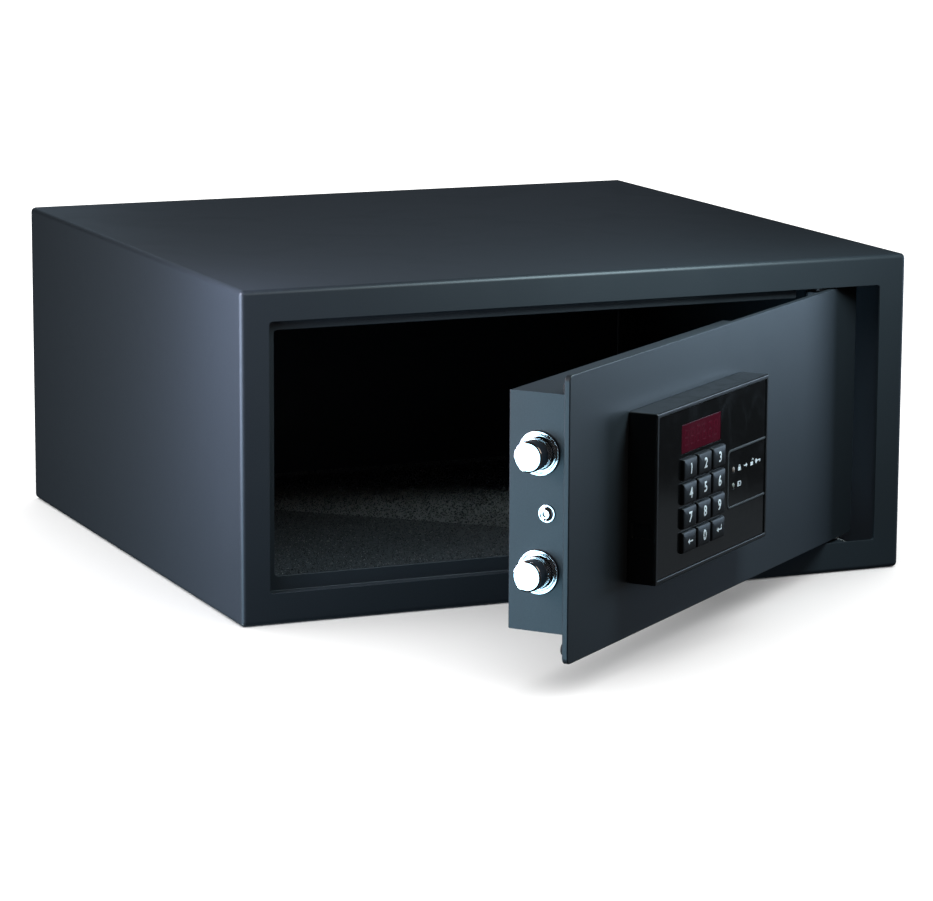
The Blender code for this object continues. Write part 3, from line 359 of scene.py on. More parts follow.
def board_green(colours):
    track, mask_green = (0.010, 0.075, 0.028), (0.028, 0.150, 0.060)
    made, tree, shader = shader_of("board_green", Roughness=0.32, Coat_Weight=0.3)
    place = put(tree, "ShaderNodeTexCoord").outputs["Object"]
    squared = put(tree, "ShaderNodeMapping", {
        "Vector": place, "Rotation": (0.0, 0.0, -DOOR_ANGLE)})
    tracks = put(tree, "ShaderNodeTexVoronoi", {
        "Vector": squared.outputs["Vector"], "Scale": 260.0}, distance="CHEBYCHEV")
    mask = put(tree, "ShaderNodeMapRange", {
        "Value": tracks.outputs["Distance"], "From Min": 0.36, "From Max": 0.40})
    toned(tree, shader, mask.outputs["Result"], track, mask_green)
    bumped(tree, shader, mask.outputs["Result"], 0.3, 0.00004)
    return made


def studio_floor(colours):
    darker, lighter = (0.86, 0.86, 0.86), (0.90, 0.90, 0.90)
    made, tree, shader = shader_of("studio_floor", Roughness=0.9, Specular_IOR_Level=0.0)
    grain = group_in(tree, fine_grain(), Scale=60.0, Broad_Scale=2.0)
    toned(tree, shader, grain.outputs["Broad"], darker, lighter)
    return made


FINISHES = {maker.__name__: maker for maker in (
    graphite_coat, felt, chrome, zinc_steel, board_green, studio_floor)}


def material(name):
    """A finish by its name, made when it is first asked for."""
    found = bpy.data.materials.get(finish_label(name))
    if found:
        return found
    colours = bpy.context.scene.safe_colours
    if name in FINISHES:
        return FINISHES[name](colours)
    colour, rough, grain_scale, relief, rest = moulded_finishes(colours)[name]
    return moulded(name, colour, rough, grain_scale, relief, **rest)


# ---------------------------------------------------------------- mesh helpers


def body_of(node):
    """The moving body that a node belongs to."""
    return next(name for name, nodes in frame["record"]["behaviour"]["bodies"].items()
                if node in nodes)


def door_box(node):
    """A node's lowest and highest corner in the door's own axes."""
    back = DOOR.inverted()
    points = [back @ vertex.co for vertex in frame["nodes"][node].data.vertices]
    low = Vector(min(point[axis] for point in points) for axis in range(3))
    high = Vector(max(point[axis] for point in points) for axis in range(3))
    return low, high


def middle(low, high, x=None, y=None):
    """The middle of a box, with its place along X or Y taken from elsewhere if given."""
    centre = (low + high) / 2
    return Vector((centre.x if x is None else x, centre.y if y is None else y, centre.z))


def mesh_from(name, build, place=Matrix.Identity(4)):
    """A mesh that `build` fills, closed, facing out, and carried to its place."""
    data = bpy.data.meshes.new(name)
    shape = bmesh.new()
    build(shape)
    bmesh.ops.remove_doubles(shape, verts=shape.verts, dist=SAME_POINT)
    bmesh.ops.recalc_face_normals(shape, faces=shape.faces)
    bmesh.ops.transform(shape, matrix=place, verts=shape.verts)
    shape.to_mesh(data)
    shape.free()
    return data


def piece(name, data, finishes, nodes=(), body=None, edge=0.0, segments=3, limit=35.0):
    """A finished piece that stands for the CAD nodes given and rides on their body."""
    made = bpy.data.objects.new(name, data)
    bpy.context.scene.collection.objects.link(made)
    for finish in finishes:
        if material(finish).name not in data.materials:
            data.materials.append(material(finish))
    data.shade_smooth()
    if edge > 0.0:
        soften(made, edge, segments, limit)
    else:
        data.set_sharp_from_angle(angle=math.radians(limit))
    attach(made, body or body_of(nodes[0]))
    if nodes:
        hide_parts(*nodes)


def soften(made, width, segments, limit):
    """Rounded edges beside flat faces that stay flat in shading."""
    bevel = made.modifiers.new("soft edges", "BEVEL")
    bevel.width = width
    bevel.segments = segments
    bevel.limit_method = "ANGLE"
    bevel.angle_limit = math.radians(limit)
    even = made.modifiers.new("even shading", "WEIGHTED_NORMAL")
    even.mode = "FACE_AREA"
    even.weight = 100


def refined(node, finish, edge, segments=3):
    """A copy of a CAD node, welded, with its flat faces whole and its edges rounded."""
    nearly_flat = 0.5

    def build(shape):
        shape.from_mesh(frame["nodes"][node].data)
        bmesh.ops.remove_doubles(shape, verts=shape.verts, dist=2 * SAME_POINT)
        bmesh.ops.dissolve_limit(shape, angle_limit=math.radians(nearly_flat),
                                 verts=shape.verts, edges=shape.edges)

    name = "finished_" + node
    piece(name, mesh_from(name, build), (finish,), (node,), edge=edge, segments=segments)


def turned(profile, steps):
    """A shape maker: a profile of (radius, height) points turned about Z."""

    def build(shape):
        points = [shape.verts.new((radius, 0.0, height)) for radius, height in profile]
        lines = [shape.edges.new(pair) for pair in zip(points, points[1:])]
        bmesh.ops.spin(shape, geom=points + lines, cent=(0, 0, 0), axis=(0, 0, 1),
                       angle=2 * math.pi, steps=steps, use_merge=True)

    return build


def dome(radius, top, drop, steps=8, inner=0.0):
    """Profile points of a quarter round, from beside the axis out and down by the drop."""
    points = []
    for step in range(1, steps + 1):
        angle = step / steps * QUARTER
        points.append((inner + radius * math.sin(angle), top - drop + drop * math.cos(angle)))
    return points


def at(centre, turn=Matrix.Identity(4)):
    """The place on the door of a shape made about its own origin."""
    return DOOR @ Matrix.Translation(centre) @ turn


def rounded_ring(width, height, radius, steps=6):
    """Points of a rounded rectangle in XZ about the origin, anticlockwise from the front."""
    ring = []
    for corner, (side, end) in enumerate(((1, 1), (-1, 1), (-1, -1), (1, -1))):
        for step in range(steps + 1):
            angle = (corner + step / steps) * QUARTER
            ring.append((side * (width / 2 - radius) + radius * math.cos(angle),
                         end * (height / 2 - radius) + radius * math.sin(angle)))
    return ring


def lofted(rings):
    """A shape maker: a closed skin through rings with the same number of points."""

    def build(shape):
        rows = [[shape.verts.new(point) for point in ring] for ring in rings]
        for below, above in zip(rows, rows[1:]):
            for index in range(len(below)):
                after = (index + 1) % len(below)
                shape.faces.new((below[index], below[after], above[after], above[index]))
        shape.faces.new(rows[0])
        shape.faces.new(rows[-1])

    return build


def slab(low, high):
    """A shape maker: a box between two corners."""
    low, high = Vector(low), Vector(high)

    def build(shape):
        size = Matrix.Diagonal((*(high - low), 1.0))
        bmesh.ops.create_cube(shape, size=1.0, matrix=Matrix.Translation((low + high) / 2) @ size)

    return build


def together(*builds):
    """A shape maker: several shapes in one."""

    def build(shape):
        for each in builds:
            each(shape)

    return build


def outline(points, thickness):
    """A shape maker: a flat outline in XZ with its front at Y = 0 and a thickness behind."""

    def build(shape):
        front = [shape.verts.new((x, 0.0, z)) for x, z in points]
        face = shape.faces.new(front)
        grown = bmesh.ops.extrude_face_region(shape, geom=[face])["geom"]
        behind = [part for part in grown if isinstance(part, bmesh.types.BMVert)]
        bmesh.ops.translate(shape, verts=behind, vec=(0.0, thickness, 0.0))

    return build


def moved(build, offset):
    """A shape maker whose shape is shifted."""

    def shifted(shape):
        before = set(shape.verts)
        build(shape)
        added = [vertex for vertex in shape.verts if vertex not in before]
        bmesh.ops.translate(shape, verts=added, vec=offset)

    return shifted


def joined(name, meshes, finishes):
    """One mesh from several, each with its own finish."""
    shape = bmesh.new()
    data = bpy.data.meshes.new(name)
    for index, (source, finish) in enumerate(zip(meshes, finishes)):
        before = set(shape.faces)
        shape.from_mesh(source)
        for face in shape.faces:
            if face not in before:
                face.material_index = index
        data.materials.append(material(finish))
    shape.to_mesh(data)
    shape.free()
    return data


def lettering(text, size, thickness):
    """A mesh of type, centred on the origin in XZ, with its front towards -Y."""
    boldness = 0.020
    curve = bpy.data.curves.new("lettering", "FONT")
    curve.body = text
    curve.size = size
    curve.offset = size * boldness
    curve.extrude = thickness / 2
    curve.align_x = "CENTER"
    curve.align_y = "CENTER"
    made = bpy.data.objects.new("lettering", curve)
    bpy.context.scene.collection.objects.link(made)
    data = new_mesh_of(made)
    data.transform(TO_FRONT)
    centre = sum((Vector(corner) for corner in made.bound_box), Vector()) / 8
    data.transform(Matrix.Translation((-centre.x, 0.0, -centre.y)))
    bpy.data.objects.remove(made)
    return data


def new_mesh_of(made):
    """The plain mesh of an object with its modifiers applied."""
    bpy.context.view_layer.update()
    graph = bpy.context.evaluated_depsgraph_get()
    return bpy.data.meshes.new_from_object(made.evaluated_get(graph))


# ---------------------------------------------------------------- geometry node trees


def geometry_tree(name, sockets):
    """A geometry tree with named inputs, its end nodes, and each input's identifier."""
    tree = bpy.data.node_groups.new(name, "GeometryNodeTree")
    tree.interface.new_socket("Geometry", in_out="INPUT", socket_type="NodeSocketGeometry")
    for label, kind in sockets:
        tree.interface.new_socket(label, in_out="INPUT", socket_type="NodeSocket" + kind)
    tree.interface.new_socket("Geometry", in_out="OUTPUT", socket_type="NodeSocketGeometry")
    return tree, tree.nodes.new("NodeGroupInput"), tree.nodes.new("NodeGroupOutput")


def finish_tree(tree, given, result, geometry):
    """Ends a tree: real geometry with the finish that it was given."""
    real = put(tree, "GeometryNodeRealizeInstances", {"Geometry": geometry})
    painted = put(tree, "GeometryNodeSetMaterial", {
        "Geometry": real.outputs["Geometry"], "Material": given.outputs["Finish"]})
    tree.links.new(painted.outputs["Geometry"], result.inputs["Geometry"])
    return tree


@built_once("Row of copies")
def row_tree(name):
    """Copies of a piece in a straight row."""
    tree, given, result = geometry_tree(name, (
        ("Piece", "Object"), ("Count", "Int"), ("Start", "Vector"), ("Step", "Vector"),
        ("Finish", "Material")))
    source = put(tree, "GeometryNodeObjectInfo", {"Object": given.outputs["Piece"]})
    line = put(tree, "GeometryNodeMeshLine", {
        "Count": given.outputs["Count"], "Start Location": given.outputs["Start"],
        "Offset": given.outputs["Step"]})
    placed = put(tree, "GeometryNodeInstanceOnPoints", {
        "Points": line.outputs["Mesh"], "Instance": source.outputs["Geometry"]})
    return finish_tree(tree, given, result, placed.outputs["Instances"])


@built_once("Ring of copies")
def ring_tree(name):
    """Copies of a piece turned about Z, evenly round a full turn."""
    tree, given, result = geometry_tree(name, (
        ("Piece", "Object"), ("Count", "Int"), ("Finish", "Material")))
    source = put(tree, "GeometryNodeObjectInfo", {"Object": given.outputs["Piece"]})
    line = put(tree, "GeometryNodeMeshLine", {
        "Count": given.outputs["Count"], "Offset": (0.0, 0.0, 0.0)})
    index = put(tree, "GeometryNodeInputIndex")
    share = put(tree, "ShaderNodeMath", operation="DIVIDE")
    tree.links.new(index.outputs["Index"], share.inputs[0])
    tree.links.new(given.outputs["Count"], share.inputs[1])
    angle = put(tree, "ShaderNodeMath", {0: share.outputs[0], 1: 2 * math.pi},
                operation="MULTIPLY")
    turn = put(tree, "ShaderNodeCombineXYZ", {"Z": angle.outputs[0]})
    placed = put(tree, "GeometryNodeInstanceOnPoints", {
        "Points": line.outputs["Mesh"], "Instance": source.outputs["Geometry"],
        "Rotation": turn.outputs["Vector"]})
    return finish_tree(tree, given, result, placed.outputs["Instances"])


@built_once("Felt pile")
def pile_tree(name):
    """Tufts scattered over the faces that look up, leaning every way."""
    level, tuft_radius, shortest = 0.9, 0.00055, 0.6
    tree, given, result = geometry_tree(name, (
        ("Density", "Float"), ("Height", "Float"), ("Lean", "Float"), ("Seed", "Int"),
        ("Finish", "Material")))
    normal = put(tree, "GeometryNodeInputNormal")
    parts = put(tree, "ShaderNodeSeparateXYZ", {"Vector": normal.outputs["Normal"]})
    upward = put(tree, "FunctionNodeCompare", {"A": parts.outputs["Z"], "B": level},
                 data_type="FLOAT", operation="GREATER_THAN")
    points = put(tree, "GeometryNodeDistributePointsOnFaces", {
        "Mesh": given.outputs["Geometry"], "Selection": upward.outputs["Result"],
        "Density": given.outputs["Density"], "Seed": given.outputs["Seed"]})
    tuft = put(tree, "GeometryNodeMeshCone", {
        "Vertices": 3, "Radius Top": 0.0, "Radius Bottom": tuft_radius, "Depth": 1.0},
        fill_type="NONE")
    lean = put(tree, "ShaderNodeMath", {0: given.outputs["Lean"], 1: -1.0},
               operation="MULTIPLY")
    low = put(tree, "ShaderNodeCombineXYZ", {
        "X": lean.outputs[0], "Y": lean.outputs[0], "Z": 0.0})
    high = put(tree, "ShaderNodeCombineXYZ", {
        "X": given.outputs["Lean"], "Y": given.outputs["Lean"], "Z": 2 * math.pi})
    turn = put(tree, "FunctionNodeRandomValue", {
        0: low.outputs["Vector"], 1: high.outputs["Vector"],
        "Seed": given.outputs["Seed"]}, data_type="FLOAT_VECTOR")
    size = put(tree, "FunctionNodeRandomValue", {
        2: shortest, 3: 1.0, "Seed": given.outputs["Seed"]}, data_type="FLOAT")
    tall = put(tree, "ShaderNodeMath", {
        0: size.outputs[1], 1: given.outputs["Height"]}, operation="MULTIPLY")
    scale = put(tree, "ShaderNodeCombineXYZ", {"X": 1.0, "Y": 1.0, "Z": tall.outputs[0]})
    placed = put(tree, "GeometryNodeInstanceOnPoints", {
        "Points": points.outputs["Points"], "Instance": tuft.outputs["Mesh"],
        "Rotation": turn.outputs[0], "Scale": scale.outputs["Vector"]})
    both = put(tree, "GeometryNodeJoinGeometry")
    tree.links.new(placed.outputs["Instances"], both.inputs["Geometry"])
    tree.links.new(given.outputs["Geometry"], both.inputs["Geometry"])
    return finish_tree(tree, given, result, both.outputs["Geometry"])


def grown(base, tree, **values):
    """The plain mesh that a geometry tree makes on a base mesh. Values go to named inputs."""
    carrier = bpy.data.objects.new("carrier", base)
    bpy.context.scene.collection.objects.link(carrier)
    modifier = carrier.modifiers.new("nodes", "NODES")
    modifier.node_group = tree
    inputs = {item.name: item.identifier for item in tree.interface.items_tree
              if item.in_out == "INPUT"}
    for label, value in values.items():
        modifier[inputs[label]] = value
    data = new_mesh_of(carrier)
    bpy.data.objects.remove(carrier)
    return data


def copies(data, tree, finish, **values):
    """A tree's copies of one small mesh, as a plain mesh."""
    seed = bpy.data.objects.new("seed", data)
    bpy.context.scene.collection.objects.link(seed)
    bpy.context.view_layer.update()
    made = grown(bpy.data.meshes.new("base"), tree, Piece=seed, Finish=material(finish),
                 **values)
    bpy.data.objects.remove(seed)
    return made


# ---------------------------------------------------------------- body


class SAFE_OT_body(bpy.types.Operator):
    """Folded steel body, its back panel and the stop frame behind the opening"""

    bl_idname = "safe.body"
    bl_label = "Steel Body"

    def execute(self, context):
        sizes = context.scene.safe_sizes
        refined("body_shell", "graphite_coat", sizes.steel_edge, segments=4)
        refined("back_panel", "graphite_coat", PANEL_EDGE)
        refined("door_stop_frame", "graphite_coat", PANEL_EDGE)
        return {"FINISHED"}


class SAFE_OT_floor_mat(bpy.types.Operator):
    """Felt mat with a short pile on the floor of the safe"""

    bl_idname = "safe.floor_mat"
    bl_label = "Floor Mat"

    def execute(self, context):
        sizes = context.scene.safe_sizes
        low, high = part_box("floor_mat")

        def build(shape):
            shape.from_mesh(frame["nodes"]["floor_mat"].data)
            for vertex in shape.verts:
                if vertex.co.z > (low.z + high.z) / 2:
                    vertex.co.z -= sizes.pile_height / 2

        area = (high.x - low.x) * (high.y - low.y)
        lean, seed = 0.7, 11
        data = grown(mesh_from("felt_base", build), pile_tree(),
                     Density=sizes.pile_count / area, Height=sizes.pile_height, Lean=lean,
                     Seed=seed, Finish=material("felt"))
        data.name = "felt_mat"
        piece("felt_mat", data, ("felt",), ("floor_mat",))
        return {"FINISHED"}


class SAFE_OT_hinges(bpy.types.Operator):
    """Hinge angles, pins and bushes"""

    bl_idname = "safe.hinges"
    bl_label = "Hinges"

    def execute(self, context):
        for side in ("upper", "lower"):
            for node, finish, edge in (
                    ("_hinge_bracket", "graphite_coat", 0.0003),
                    ("_hinge_tab", "graphite_coat", 0.0003),
                    ("_hinge_bush", "nylon", 0.0003), ("_hinge_pin", "zinc_steel", 0.0002)):
                refined(side + node, finish, edge)
        return {"FINISHED"}


# ---------------------------------------------------------------- door and lock


class SAFE_OT_door(bpy.types.Operator):
    """Door plate, the folded cover over the lock, and the bumpers"""

    bl_idname = "safe.door"
    bl_label = "Door"

    def execute(self, context):
        sizes = context.scene.safe_sizes
        refined("door_plate", "graphite_coat", sizes.steel_edge, segments=4)
        refined("lock_cover", "graphite_coat", PANEL_EDGE)
        for side in ("upper", "lower"):
            low, high = door_box(side + "_bumper")
            radius, height = (high.x - low.x) / 2, high.y - low.y
            profile = [(0.0, height), *dome(radius, height, height * 0.75), (radius, 0.0),
                       (0.0, 0.0)]
            data = mesh_from("bumper", turned(profile, 32),
                             at(middle(low, high, y=low.y), TO_BACK))
            piece(side + "_rubber_bumper", data, ("rubber",), (side + "_bumper",))
        return {"FINISHED"}


class SAFE_OT_bolts(bpy.types.Operator):
    """Chrome bolts, their bushings and the domed screw between them"""

    bl_idname = "safe.bolts"
    bl_label = "Bolts"

    def execute(self, context):
        for side in ("upper", "lower"):
            self.bolt(side)
            self.bushing(side)
        self.side_screw()
        return {"FINISHED"}

    def bolt(self, side):
        """A round bar with a rounded nose."""
        low, high = door_box(side + "_bolt")
        radius, length = (high.z - low.z) / 2, high.x - low.x
        nose, tail = 0.0012, 0.0003
        flat = radius - nose
        profile = [(0.0, length), (flat, length),
                   *dome(nose, length, nose, steps=6, inner=flat),
                   (radius, tail), (radius - tail, 0.0), (0.0, 0.0)]
        data = mesh_from("bolt", turned(profile, 96),
                         at(middle(low, high, x=high.x), TO_FREE_EDGE))
        piece(side + "_chrome_bolt", data, ("chrome",), (side + "_bolt",))

    def bushing(self, side):
        """A flanged ring with a sunk inner lip."""
        low, high = door_box(side + "_bolt_bushing")
        bolt_low, bolt_high = door_box(side + "_bolt")
        play, flange_width, flange_depth = 0.0004, 0.00165, 0.0012
        outer = (high.z - low.z) / 2
        bore = (bolt_high.z - bolt_low.z) / 2 + play
        barrel = outer - flange_width
        face = high.x - low.x
        seat = face - flange_depth
        profile = [
            (bore, 0.0), (bore, face - 0.0007), (bore + 0.0003, face - 0.0004),
            (bore + 0.0011, face - 0.0004), (bore + 0.0014, face - 0.0009),
            (outer - 0.0016, face - 0.0009), (outer - 0.0012, face),
            (outer - 0.0003, face), (outer, face - 0.0003), (outer, seat), (barrel, seat),
            (barrel, 0.0), (bore, 0.0)]
        data = mesh_from("bushing", turned(profile, 96),
                         at(middle(low, high, x=high.x), TO_FREE_EDGE))
        piece(side + "_chrome_bushing", data, ("chrome",), (side + "_bolt_bushing",),
              edge=0.00012, segments=2)

    def side_screw(self):
        """A domed head with a hollow middle, on a short shank."""
        low, high = door_box("side_screw")
        radius, top = (high.z - low.z) / 2, high.x - low.x
        recess, height, shank = 0.0012, 0.0019, 0.002
        seat = top - 0.0024
        profile = [(0.0, top - recess), (0.0014, top - recess), (0.0021, top - 0.0004),
                   (0.0024, top - 0.0002)]
        for step in range(7):
            angle = math.radians(20 + step * 70 / 6)
            profile.append((radius * 0.78 * math.sin(angle) + radius * 0.06,
                            top - height + height * math.cos(angle)))
        profile += [(radius - 0.0002, top - height), (radius, top - 0.0021), (radius, seat),
                    (shank, seat), (shank, 0.0005), (0.0015, 0.0), (0.0, 0.0)]
        data = mesh_from("screw", turned(profile, 64),
                         at(middle(low, high, x=high.x), TO_FREE_EDGE))
        piece("domed_side_screw", data, ("chrome",), ("side_screw",))


class SAFE_OT_lock_drive(bpy.types.Operator):
    """The chassis, bolt carrier, pinion and gear motor inside the lock cover"""

    bl_idname = "safe.lock_drive"
    bl_label = "Lock Drive"

    def execute(self, context):
        edge = 0.00015
        for node in ("lock_chassis", "bolt_carrier", "gear_motor", "pinion_shaft",
                     "upper_cover_standoff", "lower_cover_standoff"):
            refined(node, "zinc_steel", edge, segments=2)
        self.pinion()
        self.cover_screws()
        return {"FINISHED"}

    def pinion(self):
        """Twelve teeth round a hub, one wedge copied round the ring."""
        low, high = door_box("drive_pinion")
        teeth, tooth_depth, bore = 12, 0.0022, 0.0023
        tip = (high.z - low.z) / 2
        root = tip - tooth_depth
        half = math.pi / teeth
        wedge = []
        for radius, angle in ((bore, -half), (root, -half), (root, -half * 0.5),
                              (tip, -half * 0.24), (tip, half * 0.24), (root, half * 0.5),
                              (root, half), (bore, half)):
            wedge.append((radius * math.cos(angle + half), radius * math.sin(angle + half)))
        tooth = mesh_from("tooth", outline(wedge, high.y - low.y), TO_FRONT)
        ring = copies(tooth, ring_tree(), "zinc_steel", Count=teeth)

        def build(shape):
            shape.from_mesh(ring)
            bmesh.ops.remove_doubles(shape, verts=shape.verts, dist=10 * SAME_POINT)
            inner = [face for face in shape.faces
                     if all(len(edge.link_faces) > 2 for edge in face.edges)]
            bmesh.ops.delete(shape, geom=inner, context="FACES")

        data = mesh_from("pinion", build, at(middle(low, high, y=low.y), TO_BACK))
        piece("finished_drive_pinion", data, ("zinc_steel",), ("drive_pinion",), limit=20.0)

    def cover_screws(self):
        """Pan heads with a crossed recess, a row of two on the hinge end of the cover."""
        low, high = door_box("lower_cover_screw")
        rise = door_box("upper_cover_screw")[0].z - low.z
        radius, length = (high.z - low.z) / 2, high.y - low.y
        head_height, shank, tip = 0.0016, 0.0015, 0.0004
        profile = [(0.0, length), *dome(radius, length, head_height),
                   (shank, length - head_height), (shank, tip), (shank - tip, 0.0), (0.0, 0.0)]
        head = bpy.data.objects.new("head", mesh_from("head", turned(profile, 48)))
        bpy.context.scene.collection.objects.link(head)
        arm, width, depth = radius * 0.55, radius * 0.13, 0.0011
        for x, y in ((arm, width), (width, arm)):
            cut_from(head, mesh_from(
                "slot", slab((-x, -y, length - depth), (x, y, length + depth))))
        data = new_mesh_of(head)
        bpy.data.objects.remove(head)
        data.transform(TO_BACK)
        row = copies(data, row_tree(), "zinc_steel", Count=2,
                     Start=middle(low, high, y=low.y), Step=rise * UP)
        row.transform(DOOR)
        piece("cover_screws", row, ("zinc_steel",), ("lower_cover_screw", "upper_cover_screw"))


def cut_from(made, data):
    """Cuts a shape out of an object's mesh at once."""
    cutter = bpy.data.objects.new("cutter", data)
    bpy.context.scene.collection.objects.link(cutter)
    modifier = made.modifiers.new("cut", "BOOLEAN")
    modifier.operation = "DIFFERENCE"
    modifier.object = cutter
    result = new_mesh_of(made)
    made.modifiers.clear()
    made.data = result
    bpy.data.objects.remove(cutter)


# ---------------------------------------------------------------- keypad


class SAFE_OT_keypad_unit(bpy.types.Operator):
    """Satin housing lightened by a painted highlight in its colour, gloss fascia, the outlined label field and the
    boards behind
    """

    bl_idname = "safe.keypad_unit"
    bl_label = "Keypad Unit"

    def execute(self, context):
        for node, finish, edge, segments in (
                # The housing's colour is the keypad black lightened by a painted highlight.
                ("keypad_housing", "satin_black_painted_highlight", 0.0004, 4),
                ("keypad_fascia", "gloss_black", 0.0002, 2),
                ("label_inlay", "gloss_black", 0.0001, 2),
                ("circuit_board", "board_green", 0.0001, 1),
                ("key_mat", "silicone", 0.0002, 2),
                ("display_module", "black_plastic", 0.0001, 1)):
            refined(node, finish, edge, segments=segments)
        self.label_rib()
        self.symbols(context.scene.safe_sizes.print_thickness)
        return {"FINISHED"}

    def label_rib(self):
        """A thin raised line round the label field, open at its hinge end."""
        low, high = door_box("label_inlay")
        fascia_low, fascia_high = door_box("keypad_fascia")
        front, reach = fascia_low.y, fascia_high.x
        width, radius, rise, steps = 0.0015, 0.0030, 0.00035, 8
        section = ((-0.5, -0.5), (-0.5, 0.4), (-0.28, 1.0), (0.28, 1.0), (0.5, 0.4), (0.5, -0.5))
        path = [(reach, high.z)]
        for level, start in ((high.z - radius, QUARTER), (low.z + radius, math.pi)):
            for step in range(steps + 1):
                angle = start + step / steps * QUARTER
                path.append((low.x + radius + radius * math.cos(angle),
                             level + radius * math.sin(angle)))
        path.append((reach, low.z))
        rings = []
        for index, (x, z) in enumerate(path):
            before = Vector(path[max(index - 1, 0)])
            after = Vector(path[min(index + 1, len(path) - 1)])
            run = (after - before).normalized()
            side = Vector((-run.y, 0.0, run.x)) * width
            rings.append([Vector((x, front, z)) + side * across + Vector((0, -rise * up, 0))
                          for across, up in section])
        piece("label_rib", mesh_from("label_rib", lofted(rings), DOOR), ("dim_ink",),
              body="door")

    def symbols(self, thickness):
        """Two rows of printed symbols beside the status lights."""
        gap, pitch = 0.0062, 0.0085
        front = door_box("label_inlay")[0].y - thickness
        for side, makers in (("upper", (locked, arrow, unlocked, long_key)), ("lower", (cell,))):
            low, high = door_box(side + "_status_light")
            shapes = [moved(maker(thickness * 2), (index * pitch, 0.0, 0.0))
                      for index, maker in enumerate(makers)]
            data = mesh_from("symbols", together(*shapes),
                             at(middle(low, high, x=high.x + gap, y=front)))
            piece(side + "_label_symbols", data, ("print_ink",), body="door")


def bar(x0, z0, x1, z1, thickness):
    """A shape maker: a flat bar between two corners in XZ, its front at Y = 0."""
    return slab((x0, 0.0, z0), (x1, thickness, z1))


def padlock(thickness, lift, swing):
    """A closed box with a bow over it, raised and turned aside when open."""
    foot, steps = 0.0004, 12
    outer, inner = ([(swing + radius * math.cos(math.pi * step / steps),
                      foot + lift + radius * math.sin(math.pi * step / steps))
                     for step in range(steps + 1)] for radius in (0.00125, 0.00080))
    bow = outer + inner[::-1]
    return together(bar(-0.0017, -0.0016, 0.0017, 0.0005, thickness),
                    moved(outline(bow, thickness), (0.0, 0.0, 0.0001)))


def locked(thickness):
    return padlock(thickness, 0.0, 0.0)


def unlocked(thickness):
    return padlock(thickness, 0.0006, 0.0014)


def arrow(thickness):
    """An arrow towards the hinge."""
    head = outline([(0.0006, -0.0013), (0.0026, 0.0), (0.0006, 0.0013)], thickness)
    return together(bar(-0.0024, -0.0003, 0.0007, 0.0003, thickness), head)


def long_key(thickness):
    """A round bow, a long shank and two bits."""
    centre, radius, steps = -0.0022, 0.0013, 16
    turns = [2 * math.pi * step / steps for step in range(steps)]
    bow = [(centre + radius * math.cos(turn), radius * math.sin(turn)) for turn in turns]
    return together(outline(bow, thickness), bar(-0.0010, -0.0003, 0.0034, 0.0003, thickness),
                    bar(0.0020, -0.0012, 0.0025, -0.0002, thickness),
                    bar(0.0029, -0.0012, 0.0034, -0.0002, thickness))


def cell(thickness):
    """A battery cell in outline, partly full."""
    return together(bar(-0.0026, -0.0014, 0.0022, -0.0010, thickness),
                    bar(-0.0026, 0.0010, 0.0022, 0.0014, thickness),
                    bar(-0.0026, -0.0012, -0.0022, 0.0012, thickness),
                    bar(0.0018, -0.0012, 0.0022, 0.0012, thickness),
                    bar(0.0022, -0.0006, 0.0028, 0.0006, thickness),
                    bar(-0.0018, -0.0007, -0.0004, 0.0007, thickness))


class SAFE_OT_keys(bpy.types.Operator):
    """Twelve crowned key caps with printed digits and two function symbols"""

    bl_idname = "safe.keys"
    bl_label = "Keys"

    def execute(self, context):
        sizes = context.scene.safe_sizes
        foot = 0.0005
        for name in KEY_NAMES:
            node = "key_" + name
            low, high = door_box(node)
            width, height = high.x - low.x - 2 * foot, high.z - low.z - 2 * foot
            cap = mesh_from("cap", self.cap(width, height, high.y - low.y, sizes.key_crown))
            ink = self.legend(name, sizes)
            ink.transform(Matrix.Translation((0.0, -sizes.print_thickness / 2, 0.0)))
            bend(ink, height, sizes.key_crown)
            data = joined(node, (cap, ink), ("key_grey", "print_ink"))
            data.transform(at(middle(low, high, y=low.y)))
            piece("cap_" + node, data, ("key_grey", "print_ink"), (node,), limit=50.0)
        return {"FINISHED"}

    def cap(self, width, height, depth, crown):
        """Rounded rings from the foot up to the crowned face: inset, depth and corner radius."""
        crowned_above = 0.0010
        rings = []
        levels = ((0.0, depth, 0.0006), (0.0, 0.0024, 0.0006), (0.00012, 0.0006, 0.0007),
                  (0.00020, 0.00030, 0.0008), (0.00034, 0.00012, 0.0008),
                  (0.00055, 0.00003, 0.0009), (0.00085, 0.0, 0.0009),
                  (0.0018, 0.0, 0.0008), (0.0030, 0.0, 0.0007), (0.0044, 0.0, 0.0006))
        for inset, y, radius in levels:
            ring = rounded_ring(width - 2 * inset, height - 2 * inset, radius)
            share = 1.0 if y < crowned_above else 0.0
            rings.append([(x, y + share * crown * (2 * z / height) ** 2, z) for x, z in ring])
        return lofted(rings)

    def legend(self, name, sizes):
        """A digit, or an arrow or an enter sign on the two word keys."""
        thickness = sizes.print_thickness * 2
        if name == "clear":
            head = outline([(-0.0010, -0.0016), (-0.0010, 0.0016), (-0.0032, 0.0)], thickness)
            return mesh_from("ink", together(
                head, bar(-0.0011, -0.00035, 0.0032, 0.00035, thickness)))
        if name == "enter":
            head = outline([(-0.0010, -0.0020), (-0.0010, 0.0008), (-0.0032, -0.0006)], thickness)
            return mesh_from("ink", together(
                head, bar(-0.0011, -0.00095, 0.0032, -0.00025, thickness),
                bar(0.0025, -0.0003, 0.0032, 0.0019, thickness)))
        return lettering(name, sizes.digit_height, thickness)


